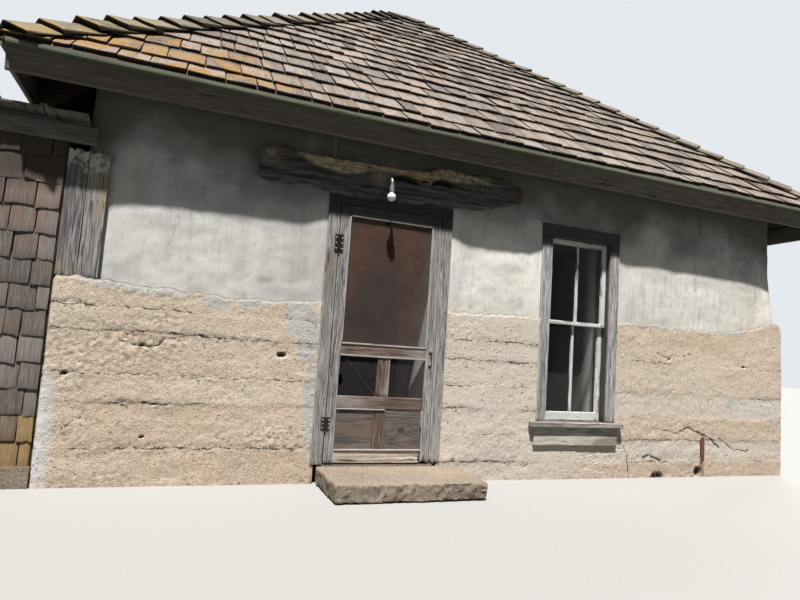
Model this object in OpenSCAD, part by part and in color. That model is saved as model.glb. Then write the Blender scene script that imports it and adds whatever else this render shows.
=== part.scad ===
// Turf house: thick sod walls, plastered above a board-formed concrete skirt,
// under a square hip roof of wood shakes, with a screen door, one sash window
// and a low shingled wing on its left side.
// The front looks along -Y. The origin is on the ground, under the middle of the walls.

/* [House] */
// Width of the walls at the foot, over the concrete skirt
body_w = 6880; // [6000:10:8600]
// Depth of the walls at the foot, over the concrete skirt
body_d = 7300; // [6200:10:9000]
// Thickness of a sod wall with its plaster
wall_t = 750; // [450:10:1000]
// Top of the floor, the door sill and the step above the ground
floor_h = 140; // [80:5:240]

/* [Concrete skirt] */
// Height of the skirt at the left corner
skirt_h = 1370; // [1000:10:1600]
// How far the skirt stands in front of the plaster
skirt_out = 118; // [60:2:160]
// How much higher the front skirt ends at the right corner
skirt_rise = 150; // [0:5:200]
// How far the front plaster stays behind the face of the skirt
plaster_back = 50; // [44:1:56]

/* [Roof] */
// Slope of the front and back roof, in degrees
roof_pitch = 40.6; // [30:0.1:50]
// Height of the eave board's top edge above the ground
eave_z = 2800; // [2600:10:3300]
// Eave board in front of the plaster, front and back
overhang_front = 357; // [250:1:500]
// Eave board beyond the plaster on the left
overhang_left = 475; // [300:1:600]
// Eave board beyond the plaster on the right
overhang_right = 656; // [400:1:700]
// Roof boards and shakes together
roof_t = 55; // [40:1:90]
// Shakes beyond the eave board
drip = 45; // [20:1:80]
// Height of the eave board
fascia_h = 190; // [140:5:240]
// Thickness of the eave board
fascia_t = 28; // [20:1:50]
// Depth of a rafter
rafter_h = 140; // [100:5:200]
// Thickness of a rafter
rafter_t = 45; // [35:1:60]
// Distance between rafters
rafter_step = 610; // [400:10:800]
// Width of each board of a hip cap, along the eave
cap_w = 170; // [100:5:240]
// Thickness of the hip caps
cap_t = 28; // [15:1:50]

/* [Wall plates] */
// Plate behind the eave board
plate_in = 700; // [650:10:800]
// Width of a plate
plate_w = 240; // [150:10:300]
// Height of a plate
plate_h = 100; // [60:5:140]

/* [Doorway] */
// Middle of the doorway, from the middle of the house
door_x = -1093; // [-1300:1:-700]
// Width of the screen door
door_w = 868; // [700:1:1000]
// Height of the screen door
door_h = 2005; // [1700:1:2060]
// Thickness of the screen door
door_t = 28; // [22:1:40]
// Running gap round the screen door
door_gap = 6; // [6:0.5:10]
// Screen door above the step
door_lift = 10; // [6:1:20]
// Width of the casing boards
casing_w = 95; // [70:1:130]
// Thickness of the casing boards
casing_t = 24; // [18:1:35]
// How far the casings stand in front of the skirt
casing_out = 8; // [2:1:30]
// Thickness of the boards that line the doorway and the window
lining_t = 30; // [20:1:45]
// Thickness of the slab over the door
slab_t = 70; // [40:1:90]

/* [Screen door] */
// Width of the stiles
stile_w = 76; // [60:1:100]
// Width of the middle upright
mullion_w = 100; // [60:1:120]
// Height of the bottom rail
rail_low = 95; // [60:1:130]
// Height of the wood panels
panel_h = 321; // [200:1:380]
// Height of the rail over the panels
rail_mid = 97; // [60:1:120]
// Height of the two middle openings
middle_h = 314; // [200:1:380]
// Height of the rail under the large opening
rail_high = 88; // [60:1:120]
// Height of the top rail
rail_top = 80; // [60:1:120]
// Thickness of the wood panels
panel_t = 12; // [8:1:16]
// Radius of a hinge barrel
barrel_r = 6; // [5:0.5:8]
// Radius of a hinge pin
pin_r = 3; // [2:0.1:3.5]
// Width of a hinge leaf
hinge_w = 34; // [28:1:45]

/* [Window] */
// Middle of the window, from the middle of the house
window_x = 777; // [500:1:1200]
// Width between the window's lining boards
window_w = 657; // [520:1:760]
// Underside of the window's lining above the ground
window_z = 506; // [450:1:620]
// Height of the window, from its sill to the head
window_h = 1655; // [1300:1:1700]
// Width of the side casings
window_casing_w = 103; // [70:1:120]
// Height of the head casing
window_head_h = 115; // [80:1:130]
// Thickness of a sash
sash_t = 34; // [28:1:45]
// Width of the sash stiles and top rail
sash_w = 46; // [35:1:60]
// Height of the lower sash's bottom rail
sash_foot = 78; // [50:1:100]
// Height of each meeting rail
meeting_h = 34; // [25:1:45]
// Middle of the meeting rails above the ground
meeting_z = 1375; // [1200:1:1500]

/* [Step and wing] */
// Width of the concrete step
step_w = 1150; // [900:10:1400]
// Depth of the concrete step in front of the skirt
step_d = 620; // [400:10:800]
// Width of the wing
wing_w = 2900; // [1800:10:4000]
// Depth of the wing
wing_d = 3600; // [2400:10:5000]
// Wing behind the face of the skirt
wing_back = 20; // [5:1:60]
// Thickness of a wing wall with its shingles
wing_t = 120; // [90:1:180]
// Top of the wing's front beam above the ground
wing_z = 2400; // [2200:10:2450]
// Fall of the wing's roof towards the back, in degrees
wing_fall = 6; // [3:0.5:8]
// Height of the wing's foundation
wing_foot = 137; // [80:1:240]

/* [Hidden] */
$fn = 24;
fit = 0.3;      // clearance between pieces that sit together
far = 20000;    // longer than anything in the house

// Walls, in plan
core_w = body_w - 2 * skirt_out;
core_d = body_d - 2 * skirt_out;
left_x = -core_w / 2;
right_x = core_w / 2;
front_y = -core_d / 2;
back_y = core_d / 2;
skirt_y = front_y - skirt_out;
coat_out = skirt_out - plaster_back;

// Roof, measured from its own middle, which stands a little to the right
roof_w = core_w + overhang_left + overhang_right;
roof_d = core_d + 2 * overhang_front;
roof_x = (overhang_right - overhang_left) / 2;
roof_rise = roof_d / 2 * tan(roof_pitch);
eave_k = 1 + 2 * drip / roof_d;
fascia_k = 1 - 2 * fascia_t / roof_d;
roof_v = roof_t / cos(roof_pitch);
rafter_v = rafter_h / cos(roof_pitch);
cap_v = cap_t / cos(roof_pitch);
trim_out = 12;
trim_h = 26;

// Plates: a rafter is notched 40 over the plate's outer edge
notch = 40;
plate_outer_k = 1 - 2 * plate_in / roof_d;
plate_inner_k = 1 - 2 * (plate_in + plate_w) / roof_d;
plate_top = eave_z + plate_in * tan(roof_pitch) - rafter_v + notch;
wall_top = plate_top - plate_h;
wall_clear = 22;

// Doorway
door_hole_w = door_w + 2 * door_gap;
door_z = floor_h + door_lift;
door_head = door_z + door_h + door_gap;
casing_y = skirt_y - casing_out;
lining_y = casing_y + casing_t;
door_left = door_x - door_w / 2;
hinge_x = door_left - door_gap / 2;
hinge_y = casing_y - barrel_r;
wall_gap_w = door_hole_w + 2 * lining_t;
panel_z = door_z + rail_low;
middle_z = panel_z + panel_h + rail_mid;
upper_z = middle_z + middle_h + rail_high;
upper_h = door_z + door_h - rail_top - upper_z;
screen_hole_w = door_w - 2 * stile_w;
half_hole_w = (screen_hole_w - mullion_w) / 2;
casing_over = casing_w;
leaf_t = 2.5;

// Window
window_top = window_z + window_h;
sash_y = casing_y + 60;
window_frame_d = 190;
window_gap_w = window_w + 2 * lining_t;
sill_h = 48;

// Wing
wing_front = skirt_y + wing_back;
wing_right = -body_w / 2;
wing_left = wing_right - wing_w;
wing_rear = wing_front + wing_d;

// Turns a piece drawn for the front side, round the roof's middle, to side 0 to 3:
// front, right, back, left
module on_side(side) {
    translate([roof_x, 0, 0])
        rotate([0, 0, 90 * side])
            children();
}

// Half the roof's plan, from its middle to the eave, and along the eave
function run(side) = side % 2 == 0 ? roof_d / 2 : roof_w / 2;
function reach(side) = side % 2 == 0 ? roof_w / 2 : roof_d / 2;

// Everything between two planes that lie low and high above one slope's board underside
module slope_band(side, low, high) {
    steep = roof_rise / run(side);
    out = run(side) * eave_k + 1;
    rotate([90, 0, 90])
        linear_extrude(far, center = true)
            polygon([
                [-out, eave_z + (run(side) - out) * steep + low],
                [0, eave_z + roof_rise + low],
                [0, eave_z + roof_rise + high],
                [-out, eave_z + (run(side) - out) * steep + high]
            ]);
}

// A piece of one slope: its plan, cut out of the band between two planes
module slope_piece(side, low, high) {
    on_side(side)
        intersection() {
            slope_band(side, low, high);
            linear_extrude(far)
                children();
        }
}

// The solid under all four slopes, shifted up or down
module under_roof(shift) {
    foot = eave_z + shift;
    translate([roof_x, 0, 0])
        intersection() {
            rotate([90, 0, 90])
                linear_extrude(far, center = true)
                    polygon([
                        [-run(0), -far], [run(0), -far],
                        [run(0), foot], [0, foot + roof_rise], [-run(0), foot]
                    ]);
            rotate([90, 0, 0])
                linear_extrude(far, center = true)
                    polygon([
                        [-run(1), -far], [run(1), -far],
                        [run(1), foot], [0, foot + roof_rise], [-run(1), foot]
                    ]);
        }
}

// A box from its low corner to its high corner
module block(low, high) {
    translate(low)
        cube(high - low);
}

// Stands a drawing up as seen from the front, its face at the given depth
module upright(depth, thick) {
    translate([0, depth + thick, 0])
        rotate([90, 0, 0])
            linear_extrude(thick)
                children();
}

// A wall block whose top follows the rafters
module wall_block(low_x, high_x, low_y, high_y, low_z = 0, high_z = wall_top) {
    intersection() {
        block([low_x, low_y, low_z], [high_x, high_y, high_z]);
        under_roof(-rafter_v - wall_clear);
    }
}

module floor() {
    color("tan")
        block([left_x + wall_t, front_y + wall_t, 0], [right_x - wall_t, back_y - wall_t, floor_h]);
}

module door_sill() {
    color("silver")
        block([door_x - wall_gap_w / 2, skirt_y, 0], [door_x + wall_gap_w / 2, front_y + wall_t, floor_h]);
}

// Uneven top edge of each length of the front skirt: share of its length, and height over skirt_h
edge_left = [[0, 20], [0.14, 20], [0.35, -5], [0.64, -30], [0.91, 2], [1, 10]];
edge_middle = [[0, 18], [0.4, 26], [1, 50]];
edge_right = [[0, 85], [0.6, 86], [0.79, 0.85 * skirt_rise],
    [0.925, 1.5 * skirt_rise], [0.975, 1.4 * skirt_rise], [1, 0.9 * skirt_rise]];

// The drawing of a length of skirt, seen from the front
module skirt_outline(low_x, high_x, edge) {
    polygon(concat(
        [[low_x, 0]],
        [for (p = edge) [low_x + p[0] * (high_x - low_x), skirt_h + p[1]]],
        [[high_x, 0]]
    ));
}

// Plaster that swells in front of the sod, and thins out towards both corners
module plaster_coat(low_x, high_x, low_z) {
    intersection() {
        block([low_x, skirt_y, low_z], [high_x, front_y + 5, wall_top]);
        under_roof(-rafter_v - wall_clear);
        linear_extrude(far)
            polygon([
                [left_x, front_y + 5], [left_x, front_y],
                [left_x + 180, front_y - 0.15 * coat_out], [left_x + 320, front_y - 0.6 * coat_out],
                [left_x + 430, front_y - coat_out], [right_x - 160, front_y - coat_out],
                [right_x - 50, front_y - 0.7 * coat_out], [right_x, front_y - 0.1 * coat_out],
                [right_x, front_y + 5]
            ]);
    }
}

// The wall behind a length of skirt, its plaster coming down to the skirt's uneven edge
module front_wall(low_x, high_x, edge) {
    wall_low = max(low_x, left_x);
    wall_high = min(high_x, right_x);
    color("lightgray") {
        wall_block(wall_low, wall_high, front_y, front_y + wall_t);
        difference() {
            plaster_coat(wall_low, wall_high, skirt_h / 2);
            translate([0, 0, fit])
                upright(skirt_y - 1, skirt_out + 1)
                    skirt_outline(low_x, high_x, edge);
        }
    }
}

module front_wall_left() {
    front_wall(-body_w / 2, door_x - wall_gap_w / 2, edge_left);
}

module front_wall_middle() {
    front_wall(door_x + wall_gap_w / 2, window_x - window_gap_w / 2, edge_middle);
}

module front_wall_right() {
    front_wall(window_x + window_gap_w / 2, body_w / 2, edge_right);
}

// Turf over the doorway, over the window and under the window
module front_wall_infill() {
    color("lightgray") {
        wall_block(door_x - wall_gap_w / 2, door_x + wall_gap_w / 2,
            front_y, front_y + wall_t, door_head + lining_t);
        plaster_coat(door_x - wall_gap_w / 2, door_x + wall_gap_w / 2, door_head + lining_t);
        wall_block(window_x - window_gap_w / 2, window_x + window_gap_w / 2,
            front_y, front_y + wall_t, window_top + lining_t);
        plaster_coat(window_x - window_gap_w / 2, window_x + window_gap_w / 2, window_top + lining_t);
        wall_block(window_x - window_gap_w / 2, window_x + window_gap_w / 2,
            front_y, front_y + wall_t, 0, window_z - lining_t);
    }
}

module right_wall() {
    color("lightgray")
        wall_block(right_x - wall_t, right_x, front_y + wall_t, back_y - wall_t);
}

module back_wall() {
    color("lightgray")
        wall_block(left_x, right_x, back_y - wall_t, back_y);
}

module left_wall() {
    color("lightgray")
        wall_block(left_x, left_x + wall_t, front_y + wall_t, back_y - wall_t);
}

// The bed of a casing in the skirt's face
module casing_bed(middle, inner_w, low_z, head_z, side_w) {
    wide = inner_w + 2 * side_w;
    block([middle - wide / 2, skirt_y - 1, low_z], [middle + wide / 2, lining_y, head_z]);
}

// A length of the front skirt, less the beds of the casings
module front_skirt(low_x, high_x, edge) {
    color("burlywood")
        difference() {
            upright(skirt_y, skirt_out)
                skirt_outline(low_x, high_x, edge);
            casing_bed(door_x, door_hole_w, floor_h, door_head, casing_w);
            casing_bed(window_x, window_w, window_z, window_top, window_casing_w);
        }
}

module skirt_front_left() {
    front_skirt(-body_w / 2, door_x - wall_gap_w / 2, edge_left);
}

module skirt_front_middle() {
    front_skirt(door_x + wall_gap_w / 2, window_x - window_gap_w / 2, edge_middle);
}

module skirt_front_right() {
    front_skirt(window_x + window_gap_w / 2, body_w / 2, edge_right);
}

module skirt_under_window() {
    under = window_z - lining_t - skirt_h;
    front_skirt(window_x - window_gap_w / 2, window_x + window_gap_w / 2, [[0, under], [1, under]]);
}

module skirt_sides() {
    color("burlywood")
        for (edge = [-1, 1])
            translate([edge * (core_w + skirt_out) / 2, 0, skirt_h / 2])
                cube([skirt_out, core_d, skirt_h], center = true);
}

module skirt_back() {
    color("burlywood")
        block([-body_w / 2, back_y, 0], [body_w / 2, back_y + skirt_out, skirt_h]);
}

// A strip round the roof's plan on one side, mitred at the hips
module ring_side(side, outer_k, inner_k, trim = 0) {
    polygon([
        [-reach(side) * outer_k + trim, -run(side) * outer_k],
        [reach(side) * outer_k - trim, -run(side) * outer_k],
        [reach(side) * inner_k - trim, -run(side) * inner_k],
        [-reach(side) * inner_k + trim, -run(side) * inner_k]
    ]);
}

module wall_plates() {
    color("peru")
        for (side = [0:3])
            on_side(side)
                translate([0, 0, wall_top])
                    linear_extrude(plate_h)
                        ring_side(side, plate_outer_k, plate_inner_k, fit);
}

// The room that the plates take out of the rafters
module plate_bed() {
    translate([roof_x, 0, wall_top])
        linear_extrude(plate_h)
            difference() {
                square([roof_w, roof_d] * plate_outer_k, center = true);
                square([roof_w, roof_d] * plate_inner_k, center = true);
            }
}

// Plan of the rafters on one side: each ends at the hip rafter's face
module rafter_plan(side) {
    slant = run(side) / reach(side);
    hip_gap = (rafter_t / 2 + fit) * sqrt(1 + slant * slant);
    count = floor((reach(side) - hip_gap / slant - rafter_t) / rafter_step);
    for (i = [-count:count]) {
        near = i * rafter_step - rafter_t / 2;
        wide = near + rafter_t;
        head_near = -abs(near) * slant - hip_gap;
        head_wide = -abs(wide) * slant - hip_gap;
        eave = -run(side) * fascia_k;
        polygon(i == 0
            ? [[near, eave], [wide, eave], [wide, head_wide], [0, -hip_gap], [near, head_near]]
            : [[near, eave], [wide, eave], [wide, head_wide], [near, head_near]]);
    }
}

module rafters(side) {
    difference() {
        slope_piece(side, -rafter_v, -fit)
            rafter_plan(side);
        plate_bed();
    }
}

module front_back_rafters() {
    color("sienna") {
        rafters(0);
        rafters(2);
    }
}

module side_rafters() {
    color("sienna") {
        rafters(1);
        rafters(3);
    }
}

// One hip rafter, drawn from the side, its top backed to both slopes,
// and notched over the plates' corner
module hip_rafter(way) {
    span = norm([run(0), reach(0)]);
    skew = rafter_t / 2 * max(run(0) / reach(0), reach(0) / run(0)) + fit;
    drop = roof_rise * skew / span + fit;
    peak_z = eave_z + roof_rise - drop;
    fall = roof_rise / span;
    low = skew;
    high = span * fascia_k - skew;
    over = 2 * drop;
    intersection() {
        under_roof(-fit);
        translate([roof_x, 0, 0])
            rotate([90, 0, way])
                linear_extrude(rafter_t, center = true)
                    difference() {
                        polygon([
                            [low, peak_z - low * fall + over], [high, peak_z - high * fall + over],
                            [high, peak_z - high * fall - rafter_v], [low, peak_z - low * fall - rafter_v]
                        ]);
                        translate([span * plate_inner_k - skew, wall_top])
                            square([span * (plate_outer_k - plate_inner_k) + skew + fit, plate_h]);
                    }
    }
}

module hip_rafters() {
    turn = atan2(run(0), reach(0));
    color("saddlebrown")
        for (way = [turn, 180 - turn, 180 + turn, -turn])
            hip_rafter(way);
}

// One slope of boards and shakes, a triangle in plan
module roof_slope(side) {
    color("rosybrown")
        slope_piece(side, 0, roof_v)
            polygon([
                [-reach(side) * eave_k, -run(side) * eave_k],
                [reach(side) * eave_k, -run(side) * eave_k],
                [0, 0]
            ]);
}

module roof_front() {
    roof_slope(0);
}

module roof_right() {
    roof_slope(1);
}

module roof_back() {
    roof_slope(2);
}

module roof_left() {
    roof_slope(3);
}

// The strip of one slope along its right or left hip, a little off the hip line
module cap_half(side, hand) {
    far_x = reach(side) * eave_k;
    far_y = -run(side) * eave_k;
    slant = run(side) / reach(side);
    slope_piece(side, roof_v + fit, roof_v + cap_v)
        polygon([
            [hand * fit, -2 * fit * slant],
            [hand * (far_x - fit), far_y],
            [hand * (far_x - cap_w), far_y],
            [hand * fit, -(cap_w + fit) * slant]
        ]);
}

module hip_caps() {
    color("dimgray")
        for (side = [0:3]) {
            cap_half(side, 1);
            cap_half((side + 1) % 4, -1);
        }
}

// Eave board of one side, with the thin strip along its top edge
module eave_board(side) {
    color("gray")
        on_side(side) {
            translate([0, 0, eave_z - fascia_h])
                linear_extrude(fascia_h)
                    ring_side(side, 1, fascia_k, fit / 2);
            translate([0, 0, eave_z - trim_out - trim_h])
                linear_extrude(trim_h)
                    ring_side(side, 1 + 2 * trim_out / roof_d, fascia_k, fit / 2);
        }
}

module eave_boards_front_back() {
    eave_board(0);
    eave_board(2);
}

module eave_boards_sides() {
    eave_board(1);
    eave_board(3);
}

// Three boards round an opening: two sides and a head that sits on them
module casing(middle, inner_w, low_z, head_z, side_w, head_h) {
    outer_w = inner_w + 2 * side_w;
    for (edge = [-1, 1])
        translate([middle + edge * (inner_w + side_w) / 2, casing_y + casing_t / 2, (low_z + head_z) / 2])
            cube([side_w, casing_t, head_z - low_z], center = true);
    block([middle - outer_w / 2, casing_y, head_z + fit],
        [middle + outer_w / 2, casing_y + casing_t, head_z + head_h]);
}

module door_casing() {
    color("gray")
        casing(door_x, door_hole_w, floor_h, door_head, casing_w, casing_over);
}

// Boards that line the doorway, behind the casing
module door_lining() {
    depth = front_y + wall_t - lining_y;
    color("darkgray") {
        for (edge = [-1, 1])
            translate([door_x + edge * (door_hole_w + lining_t) / 2, lining_y + depth / 2, 0])
                translate([-lining_t / 2, -depth / 2, floor_h])
                    cube([lining_t, depth, door_head - floor_h]);
        block([door_x - wall_gap_w / 2, lining_y, door_head + fit],
            [door_x + wall_gap_w / 2, lining_y + depth, door_head + lining_t]);
    }
}

// Openings of the screen door, seen from the front
module screen_holes(shrink) {
    translate([door_x - screen_hole_w / 2 + shrink, upper_z + shrink])
        square([screen_hole_w - 2 * shrink, upper_h - 2 * shrink]);
    for (edge = [-1, 1])
        translate([door_x + edge * (mullion_w + half_hole_w) / 2, middle_z + middle_h / 2])
            square([half_hole_w - 2 * shrink, middle_h - 2 * shrink], center = true);
}

module panel_holes(shrink) {
    for (edge = [-1, 1])
        translate([door_x + edge * (mullion_w + half_hole_w) / 2, panel_z + panel_h / 2])
            square([half_hole_w - 2 * shrink, panel_h - 2 * shrink], center = true);
}

module screen_door_frame() {
    color("dimgray")
        upright(casing_y, door_t)
            difference() {
                translate([door_left, door_z])
                    square([door_w, door_h]);
                screen_holes(0);
                panel_holes(0);
            }
}

module screen_door_mesh() {
    color("saddlebrown")
        upright(casing_y + door_t / 2 - 1, 2)
            screen_holes(fit);
}

module screen_door_panels() {
    color("rosybrown")
        upright(casing_y + (door_t - panel_t) / 2, panel_t)
            panel_holes(fit);
}

// Bent pull on the right stile
module screen_door_pull() {
    pull_h = 110;
    pull_out = 34;
    wire_r = 4;
    pull_z = middle_z + middle_h;
    color("darkslategray")
        translate([door_left + door_w - stile_w / 2, casing_y, pull_z]) {
            for (end = [-1, 1])
                translate([0, 0, end * pull_h / 2]) {
                    rotate([90, 0, 0])
                        cylinder(h = pull_out + wire_r, r = wire_r);
                    rotate([90, 0, 0])
                        cylinder(h = 3, r = 11);
                }
            translate([0, -pull_out, -pull_h / 2])
                cylinder(h = pull_h, r = wire_r);
        }
}

// Low end and height of each hinge
hinges = [[floor_h + 258, 98], [floor_h + 1627, 142]];
bore_r = pin_r + 0.08;

// A hinge leaf's plate, on one side of the pin line
module hinge_plate(hand, low_z, high_z, start) {
    block([hand > 0 ? start : -hinge_w, barrel_r - leaf_t, low_z],
        [hand > 0 ? hinge_w : -start, barrel_r, high_z]);
}

// Leaf on the casing: two end knuckles and the pin
module hinge_wall_leaf(low_z, tall) {
    third = tall / 3;
    translate([hinge_x, hinge_y, low_z]) {
        for (start = [0, tall - third]) {
            translate([0, 0, start])
                cylinder(h = third, r = barrel_r);
            hinge_plate(-1, start, start + third, 0);
        }
        cylinder(h = tall, r = pin_r);
        hinge_plate(-1, 0, tall, barrel_r + 2);
    }
}

// Leaf on the door: the middle knuckle, bored for the pin
module hinge_door_leaf(low_z, tall) {
    third = tall / 3;
    translate([hinge_x, hinge_y, low_z])
        difference() {
            union() {
                translate([0, 0, third + 1])
                    cylinder(h = third - 2, r = barrel_r);
                hinge_plate(1, third + 1, tall - third - 1, 0);
                hinge_plate(1, 0, tall, barrel_r + 2);
            }
            translate([0, 0, third])
                cylinder(h = third, r = bore_r);
        }
}

module hinge_wall_leaves() {
    color("sienna")
        for (h = hinges)
            hinge_wall_leaf(h[0], h[1]);
}

module hinge_door_leaves() {
    color("sienna")
        for (h = hinges)
            hinge_door_leaf(h[0], h[1]);
}

module window_casing() {
    color("gray")
        casing(window_x, window_w, window_z, window_top, window_casing_w, window_head_h);
}

// Boards that line the window: two sides, a head and a bottom
module window_lining() {
    color("darkgray") {
        for (edge = [-1, 1])
            translate([window_x + edge * (window_w + lining_t) / 2 - lining_t / 2, lining_y, window_z])
                cube([lining_t, window_frame_d, window_h]);
        for (low_z = [window_z - lining_t, window_top + fit])
            translate([window_x - window_gap_w / 2, lining_y, low_z])
                cube([window_gap_w, window_frame_d, lining_t - fit]);
    }
}

// A sash seen from the front: its outline, less its glass opening
module sash(depth, low_z, high_z, foot, head) {
    upright(depth, sash_t)
        difference() {
            translate([window_x - window_w / 2 + fit, low_z])
                square([window_w - 2 * fit, high_z - low_z]);
            translate([window_x - window_w / 2 + sash_w, low_z + foot])
                square([window_w - 2 * sash_w, high_z - low_z - foot - head]);
        }
}

module window_sashes() {
    color("white") {
        sash(sash_y, meeting_z - meeting_h / 2, window_top, meeting_h, sash_w);
        sash(sash_y + sash_t + fit, window_z, meeting_z + meeting_h / 2, sash_foot, meeting_h);
    }
}

module pane(depth, low_z, high_z) {
    upright(depth + sash_t / 2 - 1.5, 3)
        translate([window_x - window_w / 2 + sash_w + fit, low_z + fit])
            square([window_w - 2 * sash_w - 2 * fit, high_z - low_z - 2 * fit]);
}

module window_glass() {
    color([0.6, 0.7, 0.75, 0.4]) {
        pane(sash_y, meeting_z + meeting_h / 2, window_top - sash_w);
        pane(sash_y + sash_t + fit, window_z + sash_foot, meeting_z - meeting_h / 2);
    }
}

module window_sill() {
    wide = window_w + 2 * window_casing_w + 140;
    color("gray")
        translate([window_x - wide / 2, skirt_y, window_z - sill_h])
            rotate([90, 0, 90])
                linear_extrude(wide)
                    polygon([
                        [0, 0], [-55, 0], [-55, sill_h - 12], [-52, sill_h - 7],
                        [-casing_out - 1, sill_h - fit], [0, sill_h - fit]
                    ]);
}

module window_apron() {
    wide = window_w + 2 * window_casing_w + 40;
    color("gray")
        block([window_x - wide / 2, skirt_y - casing_t, window_z - sill_h - 160],
            [window_x + wide / 2, skirt_y, window_z - sill_h - fit]);
}

module door_step() {
    color("silver")
        translate([0, skirt_y - step_d, 0])
            linear_extrude(floor_h)
                polygon([
                    [door_x - 495, 0], [door_x - 495 + step_w, 0],
                    [door_x - 495 + step_w, step_d], [door_x - 495, step_d]
                ]);
}

// Sawn slab with its natural edges, bare, over the door: lower edge, then upper edge
module slab_board() {
    color("tan")
        translate([door_x, 0, door_head + casing_over - 40])
            upright(casing_y - slab_t, slab_t)
                polygon([
                    [-1095, 46], [-1057, 29], [-898, 25], [-767, 46], [-646, 52], [-508, 4], [-207, 6],
                    [293, 34], [746, 62], [893, 99], [1170, 184],
                    [1170, 299], [1073, 334], [943, 369], [699, 346], [368, 358], [280, 310], [93, 294],
                    [-158, 283], [-804, 276], [-921, 306], [-1047, 281], [-1095, 254]
                ]);
}

// Lamp: a pipe out of the slab, bent down to a socket
lamp_x = door_x - 78;
lamp_z = door_head + casing_over + 140;
lamp_out = 68;
module lamp_pipe() {
    pipe_r = 11;
    bend_r = 38;
    color("slategray")
        translate([lamp_x, casing_y - slab_t, lamp_z - pipe_r]) {
            rotate([90, 0, 0])
                cylinder(h = lamp_out - bend_r, r = pipe_r);
            translate([0, -(lamp_out - bend_r), -bend_r])
                rotate([90, 0, -90])
                    rotate_extrude(angle = 90)
                        translate([bend_r, 0])
                            circle(pipe_r);
            translate([0, -lamp_out, -bend_r - 70])
                cylinder(h = 70, r = pipe_r);
            translate([0, -lamp_out, -bend_r - 70])
                cylinder(h = 46, r = 19);
        }
}

module lamp_bulb() {
    color("white")
        translate([lamp_x, casing_y - slab_t - lamp_out, lamp_z - 11 - 38 - 70 - fit])
            mirror([0, 0, 1])
                rotate_extrude()
                    intersection() {
                        union() {
                            square([14, 24]);
                            translate([0, 45])
                                circle(35);
                        }
                        square([40, 80]);
                    }
}

// Two weathered planks that stand on the skirt's ledge at the left corner
module corner_planks() {
    plank_w = 130;
    plank_t = 30;
    foot = skirt_h + edge_left[0][1] + fit;
    color("darkgray")
        for (i = [0, 1])
            translate([-body_w / 2 + i * (plank_w + fit), wing_front + 4, foot])
                cube([plank_w, plank_t, wing_z - 140 - foot]);
}

// The solid under the wing's sloping roof
module under_wing_roof(shift) {
    rise = far * tan(wing_fall);
    rotate([90, 0, 90])
        linear_extrude(far, center = true)
            polygon([
                [wing_front - 1000, -1],
                [wing_front - 1000 + far, -1],
                [wing_front - 1000 + far, wing_z + shift - rise + 1000 * tan(wing_fall)],
                [wing_front - 1000, wing_z + shift + 1000 * tan(wing_fall)]
            ]);
}

// Three strips under the wing's walls
module wing_foundation() {
    proud = 25;
    color("lightgray") {
        block([wing_left - proud, wing_front - proud, 0], [wing_right, wing_front + wing_t, wing_foot]);
        block([wing_left - proud, wing_front + wing_t + fit, 0],
            [wing_left + wing_t, wing_rear - wing_t - fit, wing_foot]);
        block([wing_left - proud, wing_rear - wing_t, 0], [wing_right, wing_rear + proud, wing_foot]);
    }
}

module wing_wall(low, high) {
    color("saddlebrown")
        intersection() {
            block(low, high);
            under_wing_roof(0);
        }
}

module wing_front_wall() {
    wing_wall([wing_left, wing_front, wing_foot], [wing_right, wing_front + wing_t, wing_z + 100]);
}

module wing_left_wall() {
    wing_wall([wing_left, wing_front + wing_t, wing_foot],
        [wing_left + wing_t, wing_rear - wing_t, wing_z + 100]);
}

module wing_back_wall() {
    wing_wall([wing_left, wing_rear - wing_t, wing_foot], [wing_right, wing_rear, wing_z + 100]);
}

module wing_beam() {
    color("gray")
        block([wing_left - 150, wing_front - 50, wing_z - 115], [wing_right + 170, wing_front, wing_z]);
}

// A layer of the wing's roof between two heights over the walls, cut to a plan
module wing_layer(low, high) {
    difference() {
        intersection() {
            under_wing_roof(high);
            linear_extrude(far)
                children();
        }
        under_wing_roof(low);
    }
}

// Poles that lie along the wing, boards over them, and battens over the boards' joints
module wing_roof() {
    low_x = wing_left - 150;
    low_y = wing_front - 120;
    wide = left_x - low_x;
    deep = wing_d + 240;
    pole_w = 60;
    batten_w = 44;
    boards = 12;
    color("gray") {
        wing_layer(fit, 36)
            for (i = [0:4])
                translate([low_x, wing_front + i * (wing_d - pole_w) / 4])
                    square([wide, pole_w]);
        wing_layer(36, 58)
            translate([low_x, low_y])
                square([wide, deep]);
        wing_layer(58, 70)
            for (i = [1:boards - 1])
                translate([low_x + i * wide / boards - batten_w / 2, low_y])
                    square([batten_w, deep]);
    }
}

floor();
door_sill();
front_wall_left();
front_wall_middle();
front_wall_right();
front_wall_infill();
right_wall();
back_wall();
left_wall();
skirt_front_left();
skirt_front_middle();
skirt_front_right();
skirt_under_window();
skirt_sides();
skirt_back();
wall_plates();
front_back_rafters();
side_rafters();
hip_rafters();
roof_front();
roof_right();
roof_back();
roof_left();
hip_caps();
eave_boards_front_back();
eave_boards_sides();
door_casing();
door_lining();
screen_door_frame();
screen_door_mesh();
screen_door_panels();
screen_door_pull();
hinge_wall_leaves();
hinge_door_leaves();
window_casing();
window_lining();
window_sashes();
window_glass();
window_sill();
window_apron();
door_step();
slab_board();
lamp_pipe();
lamp_bulb();
corner_planks();
wing_foundation();
wing_front_wall();
wing_left_wall();
wing_back_wall();
wing_beam();
wing_roof();
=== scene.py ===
# %% [markdown]
# # A turf house with a hip roof
# The house is thick sod walls, plastered above and faced below with concrete cast between rough boards, under a
# roof of split wood shakes. A low shingled wing leans against its left side. The construction is already drawn and
# packed as a frame of plain solids. This lesson gives each of them the surface of the real thing: new meshes
# where wear and relief change the outline, and painted-by-numbers materials for everything.

# %% Load the frame
import math

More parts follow.
